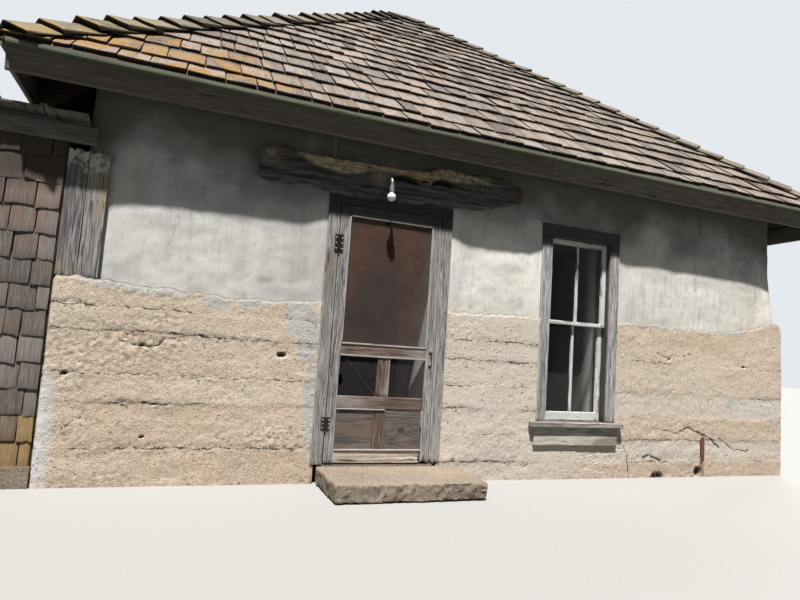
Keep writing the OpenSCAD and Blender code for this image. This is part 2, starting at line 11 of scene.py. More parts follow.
import bpy
import numpy as np
from mathutils import Matrix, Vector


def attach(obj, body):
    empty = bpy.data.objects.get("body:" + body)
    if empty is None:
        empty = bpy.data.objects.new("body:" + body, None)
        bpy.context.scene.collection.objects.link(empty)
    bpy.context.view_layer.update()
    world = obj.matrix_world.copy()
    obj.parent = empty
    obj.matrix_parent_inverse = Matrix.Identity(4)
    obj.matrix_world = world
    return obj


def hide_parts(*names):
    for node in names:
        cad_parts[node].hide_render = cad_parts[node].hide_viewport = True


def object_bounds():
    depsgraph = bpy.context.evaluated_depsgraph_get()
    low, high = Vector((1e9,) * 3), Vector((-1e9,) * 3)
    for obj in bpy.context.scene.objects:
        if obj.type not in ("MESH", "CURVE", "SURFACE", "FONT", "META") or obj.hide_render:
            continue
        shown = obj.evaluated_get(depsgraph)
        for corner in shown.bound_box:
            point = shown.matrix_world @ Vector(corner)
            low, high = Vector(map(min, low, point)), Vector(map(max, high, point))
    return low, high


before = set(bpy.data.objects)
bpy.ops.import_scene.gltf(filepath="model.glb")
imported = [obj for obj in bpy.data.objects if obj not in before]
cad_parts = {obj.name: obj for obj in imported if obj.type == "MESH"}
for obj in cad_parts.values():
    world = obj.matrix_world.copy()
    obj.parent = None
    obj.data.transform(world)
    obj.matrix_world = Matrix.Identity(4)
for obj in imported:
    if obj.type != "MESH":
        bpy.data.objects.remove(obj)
cad_low, cad_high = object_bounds()
print("frame box", [round(x, 3) for x in cad_low], [round(x, 3) for x in cad_high])

# %% [markdown]
# ## Camera, light and floor
# The picture is taken standing low at the left of the door, with the camera a little tilted. A wide lens and three
# turns (yaw, pitch, roll) give it. The key lamp stands high at the left front, so the eave throws its shadow on
# the upper wall as it does on the real house. A broad lamp behind keeps the far sides out of the dark. The floor
# looks pale, but it throws little light back, because much of it would wash out the shade under the eave.

# %% Camera, light and floor
STAND_AT = (-2.628, -8.011, 1.017)
LOOK_YAW, LOOK_PITCH, LOOK_ROLL = (math.radians(v) for v in (20.607, 5.226, 3.796))
SENSOR_MM, FOCAL_PIXELS, PICTURE_PIXELS = 36.0, 578.57, 800.0
SKY_SEEN, SKY_LIT, SKY_STRENGTH = (0.78, 0.82, 0.86, 1), (0.86, 0.92, 1.0, 1), 0.11
FLOOR_HALF, FLOOR_LIT, FLOOR_SEEN = 60, (0.1, 0.1, 0.095, 1), (0.34, 0.337, 0.328, 1)


def aim(yaw, pitch, roll):
    """The camera's three axes: forward from yaw and pitch, right kept level, then both turned by roll."""
    ahead = np.array([math.sin(yaw) * math.cos(pitch), math.cos(yaw) * math.cos(pitch), math.sin(pitch)])
    level = np.array([math.cos(yaw), -math.sin(yaw), 0.0])
    over = np.cross(level, ahead)
    right = level * math.cos(roll) + over * math.sin(roll)
    up = over * math.cos(roll) - level * math.sin(roll)
    return right, up, ahead


lens = bpy.data.cameras.new("camera")
lens.sensor_width = SENSOR_MM
lens.lens = SENSOR_MM * FOCAL_PIXELS / PICTURE_PIXELS
camera = bpy.data.objects.new("camera", lens)
bpy.context.scene.collection.objects.link(camera)
right, up, ahead = aim(LOOK_YAW, LOOK_PITCH, LOOK_ROLL)
pose = np.eye(4)
pose[:3, 0], pose[:3, 1], pose[:3, 2], pose[:3, 3] = right, up, -ahead, STAND_AT
camera.matrix_world = Matrix(pose.tolist())
bpy.context.scene.camera = camera


def far_lamp(name, energy, spread_of, colour, shine):
    """A lamp so far away that its light is parallel; its own z axis looks back along the light."""
    data = bpy.data.lights.new(name, "SUN")
    data.energy, data.angle, data.color = energy, math.radians(spread_of), colour
    lamp = bpy.data.objects.new(name, data)
    bpy.context.scene.collection.objects.link(lamp)
    shine = np.array(shine) / np.linalg.norm(shine)
    aside = np.cross(shine, [0, 0, 1.0])
    aside /= np.linalg.norm(aside)
    axes = np.eye(4)
    axes[:3, 0], axes[:3, 1], axes[:3, 2] = aside, np.cross(-shine, aside), -shine
    lamp.matrix_world = Matrix(axes.tolist())


far_lamp("key_lamp", 7.5, 1.2, (1.0, 0.975, 0.94), (0.177, 0.353, -0.919))
far_lamp("rear_lamp", 2.0, 30.0, (0.93, 0.96, 1.0), (-0.62, -0.55, -0.45))

world = bpy.data.worlds.new("pale_sky")
bpy.context.scene.world = world
world.use_nodes = True
sky = world.node_tree
sky.nodes.clear()
seen = sky.nodes.new("ShaderNodeBackground")
seen.inputs["Color"].default_value = SKY_SEEN
lit = sky.nodes.new("ShaderNodeBackground")
lit.inputs["Color"].default_value, lit.inputs["Strength"].default_value = SKY_LIT, SKY_STRENGTH
pick, path, end = (sky.nodes.new("ShaderNode" + k) for k in ("MixShader", "LightPath", "OutputWorld"))
sky.links.new(path.outputs["Is Camera Ray"], pick.inputs[0])
sky.links.new(lit.outputs[0], pick.inputs[1])
sky.links.new(seen.outputs[0], pick.inputs[2])
sky.links.new(pick.outputs[0], end.inputs[0])
bpy.context.scene.view_settings.view_transform = "Standard"

floor_mesh = bpy.data.meshes.new("studio_floor")
corners = [(x * FLOOR_HALF, y * FLOOR_HALF, 0) for x, y in ((-1, -1), (1, -1), (1, 1), (-1, 1))]
floor_mesh.from_pydata(corners, [], [(0, 1, 2, 3)])
studio_floor = bpy.data.objects.new("studio_floor", floor_mesh)
bpy.context.scene.collection.objects.link(studio_floor)
floor_paint = bpy.data.materials.new("studio_floor")
floor_paint.use_nodes = True
tint = floor_paint.node_tree.nodes.new("ShaderNodeMix")
tint.data_type = "RGBA"
tint.inputs[6].default_value, tint.inputs[7].default_value = FLOOR_LIT, FLOOR_SEEN
for out, into in ((floor_paint.node_tree.nodes.new("ShaderNodeLightPath").outputs["Is Camera Ray"], tint.inputs[0]),
                  (tint.outputs[2], floor_paint.node_tree.nodes["Principled BSDF"].inputs["Base Color"])):
    floor_paint.node_tree.links.new(out, into)
floor_paint.node_tree.nodes["Principled BSDF"].inputs["Roughness"].default_value = 0.9
floor_mesh.materials.append(floor_paint)
print("camera at", tuple(round(float(v), 3) for v in pose[:3, 3]), "lens", round(lens.lens, 2), "mm")

# %% [markdown]
# ## Ripples
# Nothing on an old house is straight, so most shapes add a ripple: a smooth random value at every point of space
# that is the same on each run. It blends the random numbers of the eight lattice corners round the point, and
# adds finer and weaker octaves.

# %% Ripples
def xyz(*parts):
    """Arrays of equal shape put side by side as the last axis: three of them make points."""
    return np.stack(parts, -1)


def lattice(ix, iy, iz, seed):
    """Whole-number coordinates scrambled to -1..1: multiply by large odd numbers, fold high bits over low ones."""
    h = ((ix * 73856093) ^ (iy * 19349663) ^ (iz * 83492791) ^ (seed * 40503)) & 0xFFFFFFFF
    h = ((h ^ (h >> 15)) * 739982445) & 0xFFFFFFFF
    h = ((h ^ (h >> 12)) * 695872825) & 0xFFFFFFFF
    return ((h ^ (h >> 15)) & 0xFFFF) / 32767.5 - 1.0


def ripple(points, size, seed=0, octaves=2):
    """Octaves of blended lattice numbers; size is the ripple's length in metres, one number or one per axis."""
    p = np.asarray(points, float) / size
    total, strength, whole = 0.0, 1.0, 0.0
    for k in range(octaves):
        cell = np.floor(p).astype(np.int64)
        f = p - cell
        f = f * f * (3 - 2 * f)
        for corner in np.ndindex(2, 2, 2):
            weight = strength
            for axis in range(3):
                weight = weight * (f[..., axis] if corner[axis] else 1 - f[..., axis])
            total = total + weight * lattice(*(cell[..., a] + corner[a] for a in range(3)), seed + 31 * k)
        whole, strength, p = whole + strength, strength / 2, p * 2.03
    return total * 1.5 / whole


def ease(x, low, high):
    """Smoothstep: 0 below low, 1 above high, and 3t^2 - 2t^3 between; low may be above high."""
    t = np.clip((np.asarray(x, float) - low) / (high - low), 0, 1)
    return t * t * (3 - 2 * t)


def along_line(x, z, line):
    """Distance from each point (x, z) to a chain of straight pieces: the least of the distances to each piece."""
    line = np.asarray(line, float)
    best = np.full(np.shape(x), 9.0)
    for a, b in zip(line[:-1], line[1:]):
        d = b - a
        t = np.clip(((x - a[0]) * d[0] + (z - a[1]) * d[1]) / (d @ d), 0, 1)
        best = np.minimum(best, np.hypot(x - a[0] - t * d[0], z - a[1] - t * d[1]))
    return best


print("ripple check", np.round(ripple(np.array([[0.1, 0.2, 0.3], [1.0, 2.0, 3.0]]), 0.5), 3))

# %% [markdown]
# ## From arrays to meshes
# Every new piece is a set of points and a few blocks of faces. `make_piece` puts them in a mesh, keeps sharp
# edges sharp, stores marks (numbers per point that its finish reads) and lets the piece ride on its body.

# %% From arrays to meshes
def join(parts):
    """Several (points, faces, marks) as one: points and marks one after another, face numbers moved up to match."""
    keys = sorted({k for _, _, m in parts for k in m})
    start, faces = 0, []
    for points, blocks, _ in parts:
        faces += [b + start for b in blocks]
        start += len(points)
    marks = {}
    for k in keys:
        wide = next(np.ndim(m[k]) for _, _, m in parts if k in m)
        blank = [np.zeros((len(p), 3) if wide == 2 else len(p)) for p, _, _ in parts]
        marks[k] = np.concatenate([m.get(k, b) for (_, _, m), b in zip(parts, blank)])
    return np.concatenate([p for p, _, _ in parts]), faces, marks


def make_piece(name, part, finish, body="house", crease=38, stands_for=()):
    """Writes one part into a mesh object at the origin, and gives it its finish and body."""
    points, faces, marks = part
    loops = np.concatenate([f.ravel() for f in faces]).astype(np.int32)
    sizes = np.concatenate([np.full(len(f), f.shape[1]) for f in faces])
    mesh = bpy.data.meshes.new(name)
    mesh.vertices.add(len(points))
    mesh.vertices.foreach_set("co", np.ascontiguousarray(points, np.float32).ravel())
    mesh.loops.add(len(loops))
    mesh.loops.foreach_set("vertex_index", loops)
    mesh.polygons.add(len(sizes))
    mesh.polygons.foreach_set("loop_start", np.concatenate([[0], np.cumsum(sizes)[:-1]]).astype(np.int32))
    mesh.polygons.foreach_set("use_smooth", np.ones(len(sizes), bool))
    mesh.update(calc_edges=True)
    mesh.set_sharp_from_angle(angle=math.radians(crease))
    for key, values in marks.items():
        wide = np.ndim(values) == 2
        layer = mesh.attributes.new(key, "FLOAT_VECTOR" if wide else "FLOAT", "POINT")
        layer.data.foreach_set("vector" if wide else "value", np.ascontiguousarray(values, np.float32).ravel())
    mesh.materials.append(finish)
    piece = bpy.data.objects.new(name, mesh)
    bpy.context.scene.collection.objects.link(piece)
    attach(piece, body)
    if stands_for:
        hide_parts(*stands_for)
    print(f"{name}: {len(points)} points, {int((sizes - 2).sum())} triangles")
    return piece


# %% [markdown]
# ## Finishes: the tools
# A finish is a node tree. `put` adds one node and feeds it, and a few short helpers wrap the nodes used most. An
# effect that several finishes share, such as wood grain or rust, is a group that is built once.

# %% Finishes: the tools
WORK = {}


def link(out, into):
    WORK["tree"].links.new(out, into)


def feed_node(node, feed):
    """Links each socket given to a node's input, and sets the input where a value is given."""
    for key, value in feed.items():
        if isinstance(value, bpy.types.NodeSocket):
            link(value, node.inputs[key])
        else:
            colour = node.inputs[key].type == "RGBA"
            node.inputs[key].default_value = (*value, 1.0) if colour else value
    return node


def put(kind, feed=None, **settings):
    """Adds one node to the tree that is being built, gives it its settings and feeds it."""
    node = WORK["tree"].nodes.new("ShaderNode" + kind)
    for key, value in settings.items():
        setattr(node, key, value)
    return feed_node(node, feed or {})


def maths(how, *terms, **settings):
    return put("Math", dict(enumerate(terms)), operation=how, **settings).outputs[0]


def times(a, b, **settings):
    return maths("MULTIPLY", a, b, **settings)


def plus(a, b):
    return maths("ADD", a, b)


def minus(a, b):
    return maths("SUBTRACT", a, b)


def times_plus(a, b, c):
    return maths("MULTIPLY_ADD", a, b, c)


def vectors(how, a, b):
    return put("VectorMath", {0: a, 1: b}, operation=how).outputs[0]


def parts_of(where):
    """The x, y and z of a place, as three sockets."""
    return put("SeparateXYZ", {0: where}).outputs


def mixed(share, a, b):
    """Colour a where share is 0 and colour b where it is 1."""
    return put("Mix", {0: share, 6: a, 7: b}, data_type="RGBA").outputs[2]


def layered(colour, *washes):
    """Washes laid over a colour one by one: each is where it lies, its strongest cover, and its own colour."""
    for share, weight, over in washes:
        colour = mixed(share if weight == 1 else times(share, weight), colour, over)
    return colour


def tinted(colour, factor):
    """A colour's three numbers times a factor, none above 1."""
    return tuple(min(1.0, c * factor) for c in colour)


def spread(value, low, high, to_low=0.0, to_high=1.0):
    """Stretches low..high to to_low..to_high, and holds the ends."""
    return put("MapRange", {0: value, 1: low, 2: high, 3: to_low, 4: to_high}).outputs[0]


def speckle(where, scale, detail=3.0, rough=0.55, stretch=None, bend=0.0):
    """A noise value from about 0 to 1 at a point, with the pattern drawn out along an axis where asked."""
    if stretch is not None:
        where = vectors("MULTIPLY", where, stretch)
    feed = {"Vector": where, "Scale": scale, "Detail": detail, "Roughness": rough, "Distortion": bend}
    return put("TexNoise", feed).outputs[0]


def new_group(name, takes, gives):
    """An empty group with its named inputs and outputs, and the sockets inside that lead to them."""
    group = bpy.data.node_groups.new(name, "ShaderNodeTree")
    for key, value in takes.items():
        kind = "Vector" if value is None else "Float"
        socket = group.interface.new_socket(name=key, in_out="INPUT", socket_type="NodeSocket" + kind)
        if value is not None:
            socket.default_value = value
    for key in gives:
        kind = "Color" if key == "Colour" else "Float"
        group.interface.new_socket(name=key, in_out="OUTPUT", socket_type="NodeSocket" + kind)
    WORK["tree"] = group
    return group, group.nodes.new("NodeGroupInput").outputs, group.nodes.new("NodeGroupOutput")


def use(group, feed):
    """Places a group in the tree that is being built and returns its outputs."""
    node = WORK["tree"].nodes.new("ShaderNodeGroup")
    node.node_tree = group
    return feed_node(node, feed).outputs


def work_on(material):
    """Makes a material's tree the one being built, and returns its Principled shader."""
    WORK["tree"] = material.node_tree
    return material.node_tree.nodes["Principled BSDF"]


def start_finish(name):
    material = bpy.data.materials.new(name)
    material.use_nodes = True
    return material, work_on(material)


def surface(shader, colour, roughness, specular=0.5, **more):
    """Feeds the shader's colour and roughness and sets its specular level, and whatever else is named."""
    more = {key.replace("_", " "): value for key, value in more.items()}
    feed_node(shader, {"Base Color": colour, "Roughness": roughness, "Specular IOR Level": specular, **more})


def mark(key, wide=False):
    """A number, or a place, that the mesh carries at each of its points."""
    return put("Attribute", attribute_name=key).outputs["Vector" if wide else "Fac"]


def place():
    return put("TexCoord").outputs["Object"]


def bumped(shader, height, strength, distance):
    """Feeds a height to the shader's normal; distance is how deep full height is, in metres."""
    node = put("Bump", {"Height": height, "Strength": strength, "Distance": distance})
    link(node.outputs[0], shader.inputs["Normal"])


# %% [markdown]
# ## Finishes: shared effects
# Wood grain runs along x of the place it is given: fine fibres, broad bands, dark drying checks and a few knots.
# Streaks run down a wall. Grit is the sand and pebbles of concrete and rough plaster. Lichen grows in scattered
# rosettes, and rust in cloudy patches of three browns.

# %% Finishes: wood grain
grain_group, take, give = new_group("wood_grain", {"Place": None, "Fibre": 60.0, "Checks": 0.5},
                                    ("Fibres", "Bands", "Checks", "Knots", "Height"))
aside = times(speckle(take["Place"], 2.2, 1.0), 0.03)
bent = vectors("ADD", take["Place"], put("CombineXYZ", {"Y": aside}).outputs[0])
knot_far = put("TexVoronoi", {"Vector": vectors("MULTIPLY", bent, (1.0, 3.2, 3.2)), "Scale": 1.35}).outputs["Distance"]
swirl = times(spread(knot_far, 0.3, 0.05), 0.02)
bent = vectors("ADD", bent, put("CombineXYZ", {"Y": swirl, "Z": swirl}).outputs[0])
fibres = times(speckle(bent, take["Fibre"], 4.0, 0.62, (0.06, 1.0, 1.0)), 0.6)
thin = times(speckle(bent, times(take["Fibre"], 2.7), 2.0, 0.6, (0.045, 1.0, 1.0)), 0.4)
fibres = plus(fibres, thin)
check_noise = speckle(bent, 78.0, 2.0, 0.55, (0.045, 1.0, 1.0))
checks = spread(minus(check_noise, times_plus(take["Checks"], -0.16, 0.745)), 0.0, 0.03)
feed_node(give, {"Fibres": fibres, "Bands": speckle(bent, 9.0, 2.0, 0.5, (0.05, 1.0, 1.0)), "Checks": checks,
                 "Knots": spread(knot_far, 0.1, 0.035), "Height": minus(times(fibres, 0.6), times(checks, 0.8))})

# %% Finishes: streaks, grit, lichen and rust
streak_group, take, give = new_group("wall_streaks", {"Place": None}, ("Streaks", "Clouds"))
fall = speckle(take["Place"], 7.0, 3.0, 0.6, (1.0, 1.0, 0.1))
cloud = speckle(take["Place"], 1.5, 3.0, 0.6)
feed_node(give, {"Streaks": times(spread(fall, 0.42, 0.68), spread(cloud, 0.35, 0.62)), "Clouds": cloud})

grit_group, take, give = new_group("grit", {"Place": None, "Size": 90.0}, ("Sand", "Pebbles", "Pits"))
stones = put("TexVoronoi", {"Vector": take["Place"], "Scale": take["Size"]}).outputs["Color"]
pit_noise = speckle(take["Place"], times(take["Size"], 0.42), 2.0, 0.5)
feed_node(give, {"Sand": speckle(take["Place"], take["Size"], 3.0, 0.7), "Pits": spread(pit_noise, 0.66, 0.72),
                 "Pebbles": put("SeparateColor", {0: stones}).outputs[0]})

lichen_group, take, give = new_group("lichen", {"Place": None, "Amount": 0.5, "Size": 22.0}, ("Cover", "Shade"))
rosette = speckle(take["Place"], take["Size"], 4.0, 0.7)
grown = plus(times(speckle(take["Place"], 6.0, 3.0, 0.65), 0.6), times(rosette, 0.4))
cover = spread(minus(grown, times_plus(take["Amount"], -0.34, 0.74)), -0.02, 0.05)
feed_node(give, {"Cover": cover, "Shade": rosette})

rust_group, take, give = new_group("rust", {"Place": None, "Size": 60.0}, ("Colour", "Height"))
blotch = speckle(take["Place"], take["Size"], 5.0, 0.7)
brown = mixed(spread(blotch, 0.35, 0.5), (0.045, 0.022, 0.014), (0.17, 0.062, 0.028))
feed_node(give, {"Colour": mixed(spread(blotch, 0.52, 0.68), brown, (0.34, 0.15, 0.06)), "Height": blotch})
print("groups", [n.name for n in bpy.data.node_groups])

# %% [markdown]
# ## Weathered wood
# All boards share one way of finishing. A board carries three marks: `grain`, the place along and across it,
# `tone`, its own random shade, and `edge`, which is 1 on its worn corners. Each use gives its own two colours,
# the weight of its checks, and stains such as rust, lichen or old white paint.

# %% Weathered wood
def wood_finish(name, light, dark, fibre=70.0, checks=0.5, contrast=0.55, grain_from=None, tint=None, lichen=None,
                lichen_amount=0.4, relief=0.0016, painted_shade_above=None):
    """Light and dark blended by fibres and bands, darkened in checks and knots, paler on edges, then stained; above a
    given height the colour goes nearly black as painted shade from the eave."""
    material, shader = start_finish(name)
    if grain_from is None:
        where, tone, edge = mark("grain", True), mark("tone"), mark("edge")
    else:
        turned = put("Mapping", {"Vector": place(), "Rotation": grain_from}).outputs[0]
        where, tone, edge = turned, speckle(turned, 0.9, 0.0), 0.0
    grain = use(grain_group, {"Place": where, "Fibre": fibre, "Checks": checks})
    blend = times_plus(grain["Fibres"], 2.0, times_plus(grain["Bands"], 0.5, -0.9))
    blend = spread(times_plus(tone, 0.16, blend), 0.34 - contrast * 0.3, 0.68 + contrast * 0.1)
    colour = mixed(blend, dark, light)
    if tint is not None:
        patch = speckle(where, 5.0, 3.0, 0.6, (0.3, 1.0, 1.0))
        colour = layered(colour, (spread(patch, 0.62 - tint[3] * 0.3, 0.72 - tint[3] * 0.3), 0.8, tint[:3]))
    colour = layered(colour, (edge, 0.35, tinted(light, 1.25)), (grain["Checks"], 0.75, tinted(dark, 0.2)),
                     (grain["Knots"], 0.7, (dark[0] * 0.6, dark[1] * 0.5, dark[2] * 0.42)))
    if lichen is not None:
        grown = use(lichen_group, {"Place": where, "Amount": times(mark("lichen"), lichen_amount)})
        colour = mixed(grown["Cover"], colour, mixed(grown["Shade"], tinted(lichen, 0.6), lichen))
    # Painted shade: above the given height the colour is darkened to nearly black, standing in for the eave's shadow.
    if painted_shade_above is not None:
        painted_shade = spread(parts_of(place())[2], painted_shade_above - 0.03, painted_shade_above + 0.05)
        colour = layered(colour, (painted_shade, 0.9, tinted(dark, 0.22)))
    surface(shader, colour, 0.85, 0.25)
    bumped(shader, grain["Height"], 0.9, relief)
    return material


casing_wood = wood_finish("weathered_wood", (0.46, 0.445, 0.44), (0.12, 0.11, 0.11), fibre=95.0, checks=0.8,
                          tint=(0.2, 0.165, 0.145, 0.2), painted_shade_above=2.04)
print("made", casing_wood.name)

# %% [markdown]
# ## Boards
# A board is a rounded rectangle carried along its length. Its faces are rippled along the grain, the whole board
# wanders a little from straight, its corners are worn round, and both ends are closed.

# %% Boards
def tube_faces(rows, cols):
    """Quads between the rings of a closed tube, `rows` rings of `cols` points, and a cap at each end."""
    i, j = np.meshgrid(np.arange(rows - 1), np.arange(cols), indexing="ij")
    k = (j + 1) % cols
    quads = xyz(i * cols + j, i * cols + k, (i + 1) * cols + k, (i + 1) * cols + j).reshape(-1, 4)
    ids = np.arange(cols)
    return [quads, np.stack([ids[::-1], ids + (rows - 1) * cols])]


def rounded_section(half_b, half_c, soft, step_b, step_c):
    """The rectangle's outline, counter-clockwise, with each corner cut by three points on a quarter circle."""
    b, c = (np.linspace(soft - half, half - soft, max(2, int(round(2 * (half - soft) / step)) + 1))
            for half, step in ((half_b, step_b), (half_c, step_c)))
    turn = soft * (1 - math.sqrt(0.5))
    tb, tc = half_b - turn, half_c - turn
    runs = [(0 * c + half_b, c), ([tb], [tc]), (b[::-1], 0 * b + half_c), ([-tb], [tc]),
            (0 * c - half_b, c[::-1]), ([-tb], [-tc]), (b, 0 * b - half_c), ([tb], [-tc])]
    outline = np.concatenate([xyz(x, y) for x, y in runs])
    corner = np.concatenate([np.full(len(x), k % 2, float) for k, (x, _) in enumerate(runs)])
    beside = np.maximum(corner, 0.6 * np.maximum(np.roll(corner, 1), np.roll(corner, -1)))
    half = np.array([half_b, half_c])
    facing = outline / half
    facing = np.where(np.abs(facing) > 0.999 - 1.2 * soft / half, np.sign(facing), 0.0)
    return outline, facing / np.maximum(1e-6, np.linalg.norm(facing, axis=1))[:, None], beside


def board(low, high, along, seed, soft=0.003, step=0.03, across=0.012, rough=0.0007, wander=0.002, ragged=(0, 0)):
    """The section at each station along one axis: moved by the wander, pushed out by the ripple, less at both ends."""
    low, high = np.array(low, float), np.array(high, float)
    a = "xyz".index(along)
    b, c = (a + 1) % 3, (a + 2) % 3
    size, middle = high - low, (low + high) / 2
    soft = min(soft, size[b] * 0.4, size[c] * 0.4)
    outline, facing, worn = rounded_section(size[b] / 2, size[c] / 2, soft, across, across)
    stations = np.linspace(soft, size[a] - soft, max(3, int(size[a] / step)))
    stations = np.concatenate([[0], stations, [size[a]]])
    at_end = np.zeros((len(stations), 1))
    at_end[[0, -1]] = 1.0
    grid = np.zeros((len(stations), len(outline), 3))
    grid[..., a] = stations[:, None]
    for axis, half in ((b, outline[:, 0]), (c, outline[:, 1])):
        grid[..., axis] = half - at_end * np.sign(half) * np.minimum(soft * 0.8, np.abs(half))
    shift = np.random.default_rng(seed).uniform(2, 60, 3)
    grain = grid[..., [a, b, c]] + shift
    push = rough * ripple(grain, (0.35, 0.011, 0.011), seed)
    push = push + rough * 1.2 * ripple(grain, (0.9, 0.045, 0.045), seed + 3, 1) - rough * 1.5
    grid[..., [b, c]] += push[..., None] * facing
    sway = ripple(xyz(stations + shift[0], 0 * stations, 0 * stations + seed), 0.8, seed)
    grid[..., c] += (wander * sway)[:, None] * ease(size[a], 0.3, 1.2)
    for end, inward, depth in ((0, 1, ragged[0]), (-1, -1, ragged[1])):
        near = ease(np.abs(stations - stations[end]), 0.16, 0.0)
        torn = np.abs(ripple(grain[end] * [0, 1, 1], 0.02, seed + 9)) * depth
        grid[..., a] += inward * near[:, None] * torn
    points = grid.reshape(-1, 3) + np.where(np.arange(3) == a, low, middle)
    tone = np.random.default_rng(seed + 5).uniform(-1, 1)
    marks = {"grain": grain.reshape(-1, 3), "tone": np.full(len(points), tone),
             "edge": np.tile(worn, len(stations)), "lichen": np.zeros(len(points))}
    return points, tube_faces(len(stations), len(outline)), marks


def wall_boards(y0, y1, rows, seed, **shape):
    """Boards between the same two y: a row is an axis, x0, x1, z0, z1 and, for some, what only that one has."""
    return [board((x0, y0, z0), (x1, y1, z1), axis, seed + k, **{**shape, **(more[0] if more else {})})
            for k, (axis, x0, x1, z0, z1, *more) in enumerate(rows)]

# %% Doorway boards
CASING_Y = (-3.658, -3.634)
casing_parts = wall_boards(*CASING_Y, [
    ("z", -1.628, -1.533, 0.141, 2.161),
    ("z", -0.653, -0.558, 0.141, 2.161, {"rough": 0.0013, "ragged": (0.05, 0)}),
    ("x", -1.628, -0.558, 2.163, 2.256),
], 11, across=0.008, rough=0.0011)
make_piece("door_casing_boards", join(casing_parts), casing_wood, stands_for=("door_casing",))

# %% [markdown]
# ## Walls: blocks with one worked face
# Plaster and cast concrete are solid, but only their outer face has relief. `worked_block` takes a grid of points
# for that face and a grid for its plain back, and closes the rim and the back, so each piece is a sealed solid.
# The walls go round the house, so the first number across the grid is a distance along a ring with round corners.

# %% Walls: blocks with one worked face
def worked_block(face, back, marks):
    """The face grid, its rim, and a back of upright strips that join the back's bottom and top edges."""
    nu, nv = face.shape[:2]
    front = np.arange(nu * nv).reshape(nu, nv)
    rim = np.zeros((nu, nv), bool)
    rim[[0, -1], :] = rim[:, [0, -1]] = True
    behind = np.full((nu, nv), -1)
    behind[rim] = nu * nv + np.arange(rim.sum())
    corners = (
        (front[:-1, :-1], front[1:, :-1], front[1:, 1:], front[:-1, 1:]),
        (behind[:-1, 0], behind[1:, 0], front[1:, 0], front[:-1, 0]),
        (front[:-1, -1], front[1:, -1], behind[1:, -1], behind[:-1, -1]),
        (front[0, :-1], front[0, 1:], behind[0, 1:], behind[0, :-1]),
        (behind[-1, :-1], behind[-1, 1:], front[-1, 1:], front[-1, :-1]),
        (behind[1:-2, 0], behind[1:-2, -1], behind[2:-1, -1], behind[2:-1, 0]),
    )
    blocks = [xyz(*four).reshape(-1, 4) for four in corners]
    blocks += [np.concatenate([behind[0], behind[1, [-1, 0]]])[None],
               np.concatenate([behind[-2, [0, -1]], behind[-1, ::-1]])[None]]
    full = {k: np.concatenate([v.reshape(-1, *v.shape[2:]), v[rim]]) for k, v in marks.items()}
    return np.concatenate([face.reshape(-1, 3), back[rim]]), blocks, full


def ring(u, half_x, half_y, radius):
    """A point and its outward direction at distance u along a rectangle with round corners, from mid front to +x."""
    turn = np.radians(np.concatenate([np.linspace(a, a + 90, 9) for a in (-90, 0, 90, 180)]))
    nx, ny = np.cos(turn), np.sin(turn)
    x = np.repeat([1, 1, -1, -1], 9) * (half_x - radius) + radius * nx
    y = np.repeat([-1, 1, 1, -1], 9) * (half_y - radius) + radius * ny
    start = [[0.0], [-half_y], [0.0], [-1.0]]
    rows = np.concatenate([start, [x, y, nx, ny], start], 1)
    far = np.concatenate([[0], np.cumsum(np.hypot(*np.diff(rows[:2])))])
    return [np.interp(np.mod(u, far[-1]), far, row) for row in rows]


def spots(x, z, places, near, far, wobble=0.0):
    """The strongest of several ellipses (middle x, z and half sizes) at each point, eased from near to far."""
    most = np.zeros(np.shape(x))
    for cx, cz, rx, rz in places:
        most = np.maximum(most, ease(np.hypot((x - cx) / rx, (z - cz) / rz) + wobble, far, near))
    return most


ROUND = 4 * (3.322 + 3.532)
print("once round the plaster is about", round(ROUND, 2), "m")

# %% [markdown]
# ## Plaster
# Plaster on sod is thick and hand-trowelled: it bulges slowly, and carries trowel marks and hairline cracks. It
# runs out to the casing boards in a soft flare, because they stand a hand's width in front of it. Its lower edge
# breaks off raggedly over the concrete, more so at the right-hand corner.

# %% Plaster relief
CASINGS = ((-1.628, -0.558, 2.256), (0.3455, 1.2085, 2.276))
SWELL_X = (-3.322, -3.14, -3.0, -2.88, -2.3, -0.2, 1.3, 1.57, 2.66, 3.0, 3.16, 3.27, 3.322)
SWELL_H = (0.003, 0.052, 0.062, 0.066, 0.068, 0.072, 0.088, 0.092, 0.086, 0.08, 0.071, 0.052, 0.014)


def flare(x, z):
    """1 at a casing's edge, falling to 0 over the plaster beside and above it by an eased distance."""
    out = np.zeros(np.shape(x))
    for left, right_, head in CASINGS:
        dx = np.maximum(np.maximum(left - x, x - right_), 0)
        reach = 0.17 + 0.05 * np.sin(z * 5.0 + left)
        dz = np.maximum(z - head, 0) * 1.6
        out = np.maximum(out, 1 - ease(np.hypot(dx, dz), 0.0, reach))
    return out


def plaster_height(x, y, z, front):
    """Slow bulges, trowel swells and fine sweeps, the swell of the whole front, and the flare to the casings."""
    p = xyz(x, y, z)
    h = 0.009 + 0.006 * ripple(p, 0.85, 3) + 0.0034 * ripple(p, (0.16, 0.16, 0.11), 8)
    h = h + 0.0012 * ripple(p, (0.05, 0.05, 0.03), 21)
    cracks = np.minimum(along_line(x, z, [(-2.57, 2.05), (-2.55, 1.75), (-2.59, 1.55), (-2.56, 1.4)]),
                        along_line(x, z, [(-2.2, 1.5), (-1.95, 1.47), (-1.72, 1.53)]))
    cracks = np.minimum(cracks, along_line(x, z, [(1.25, 2.28), (1.32, 2.33), (1.3, 2.5), (1.22, 2.62)]))
    h = np.maximum(h - front * 0.004 * ease(cracks, 0.012, 0.0), 0.0015)
    h = h + front * (np.interp(x, SWELL_X, SWELL_H) + 0.05 * ease(x, 3.05, 3.3) * ease(z, 2.15, 1.55))
    return h + front * np.maximum(0.104 - h, 0) * flare(x, z)


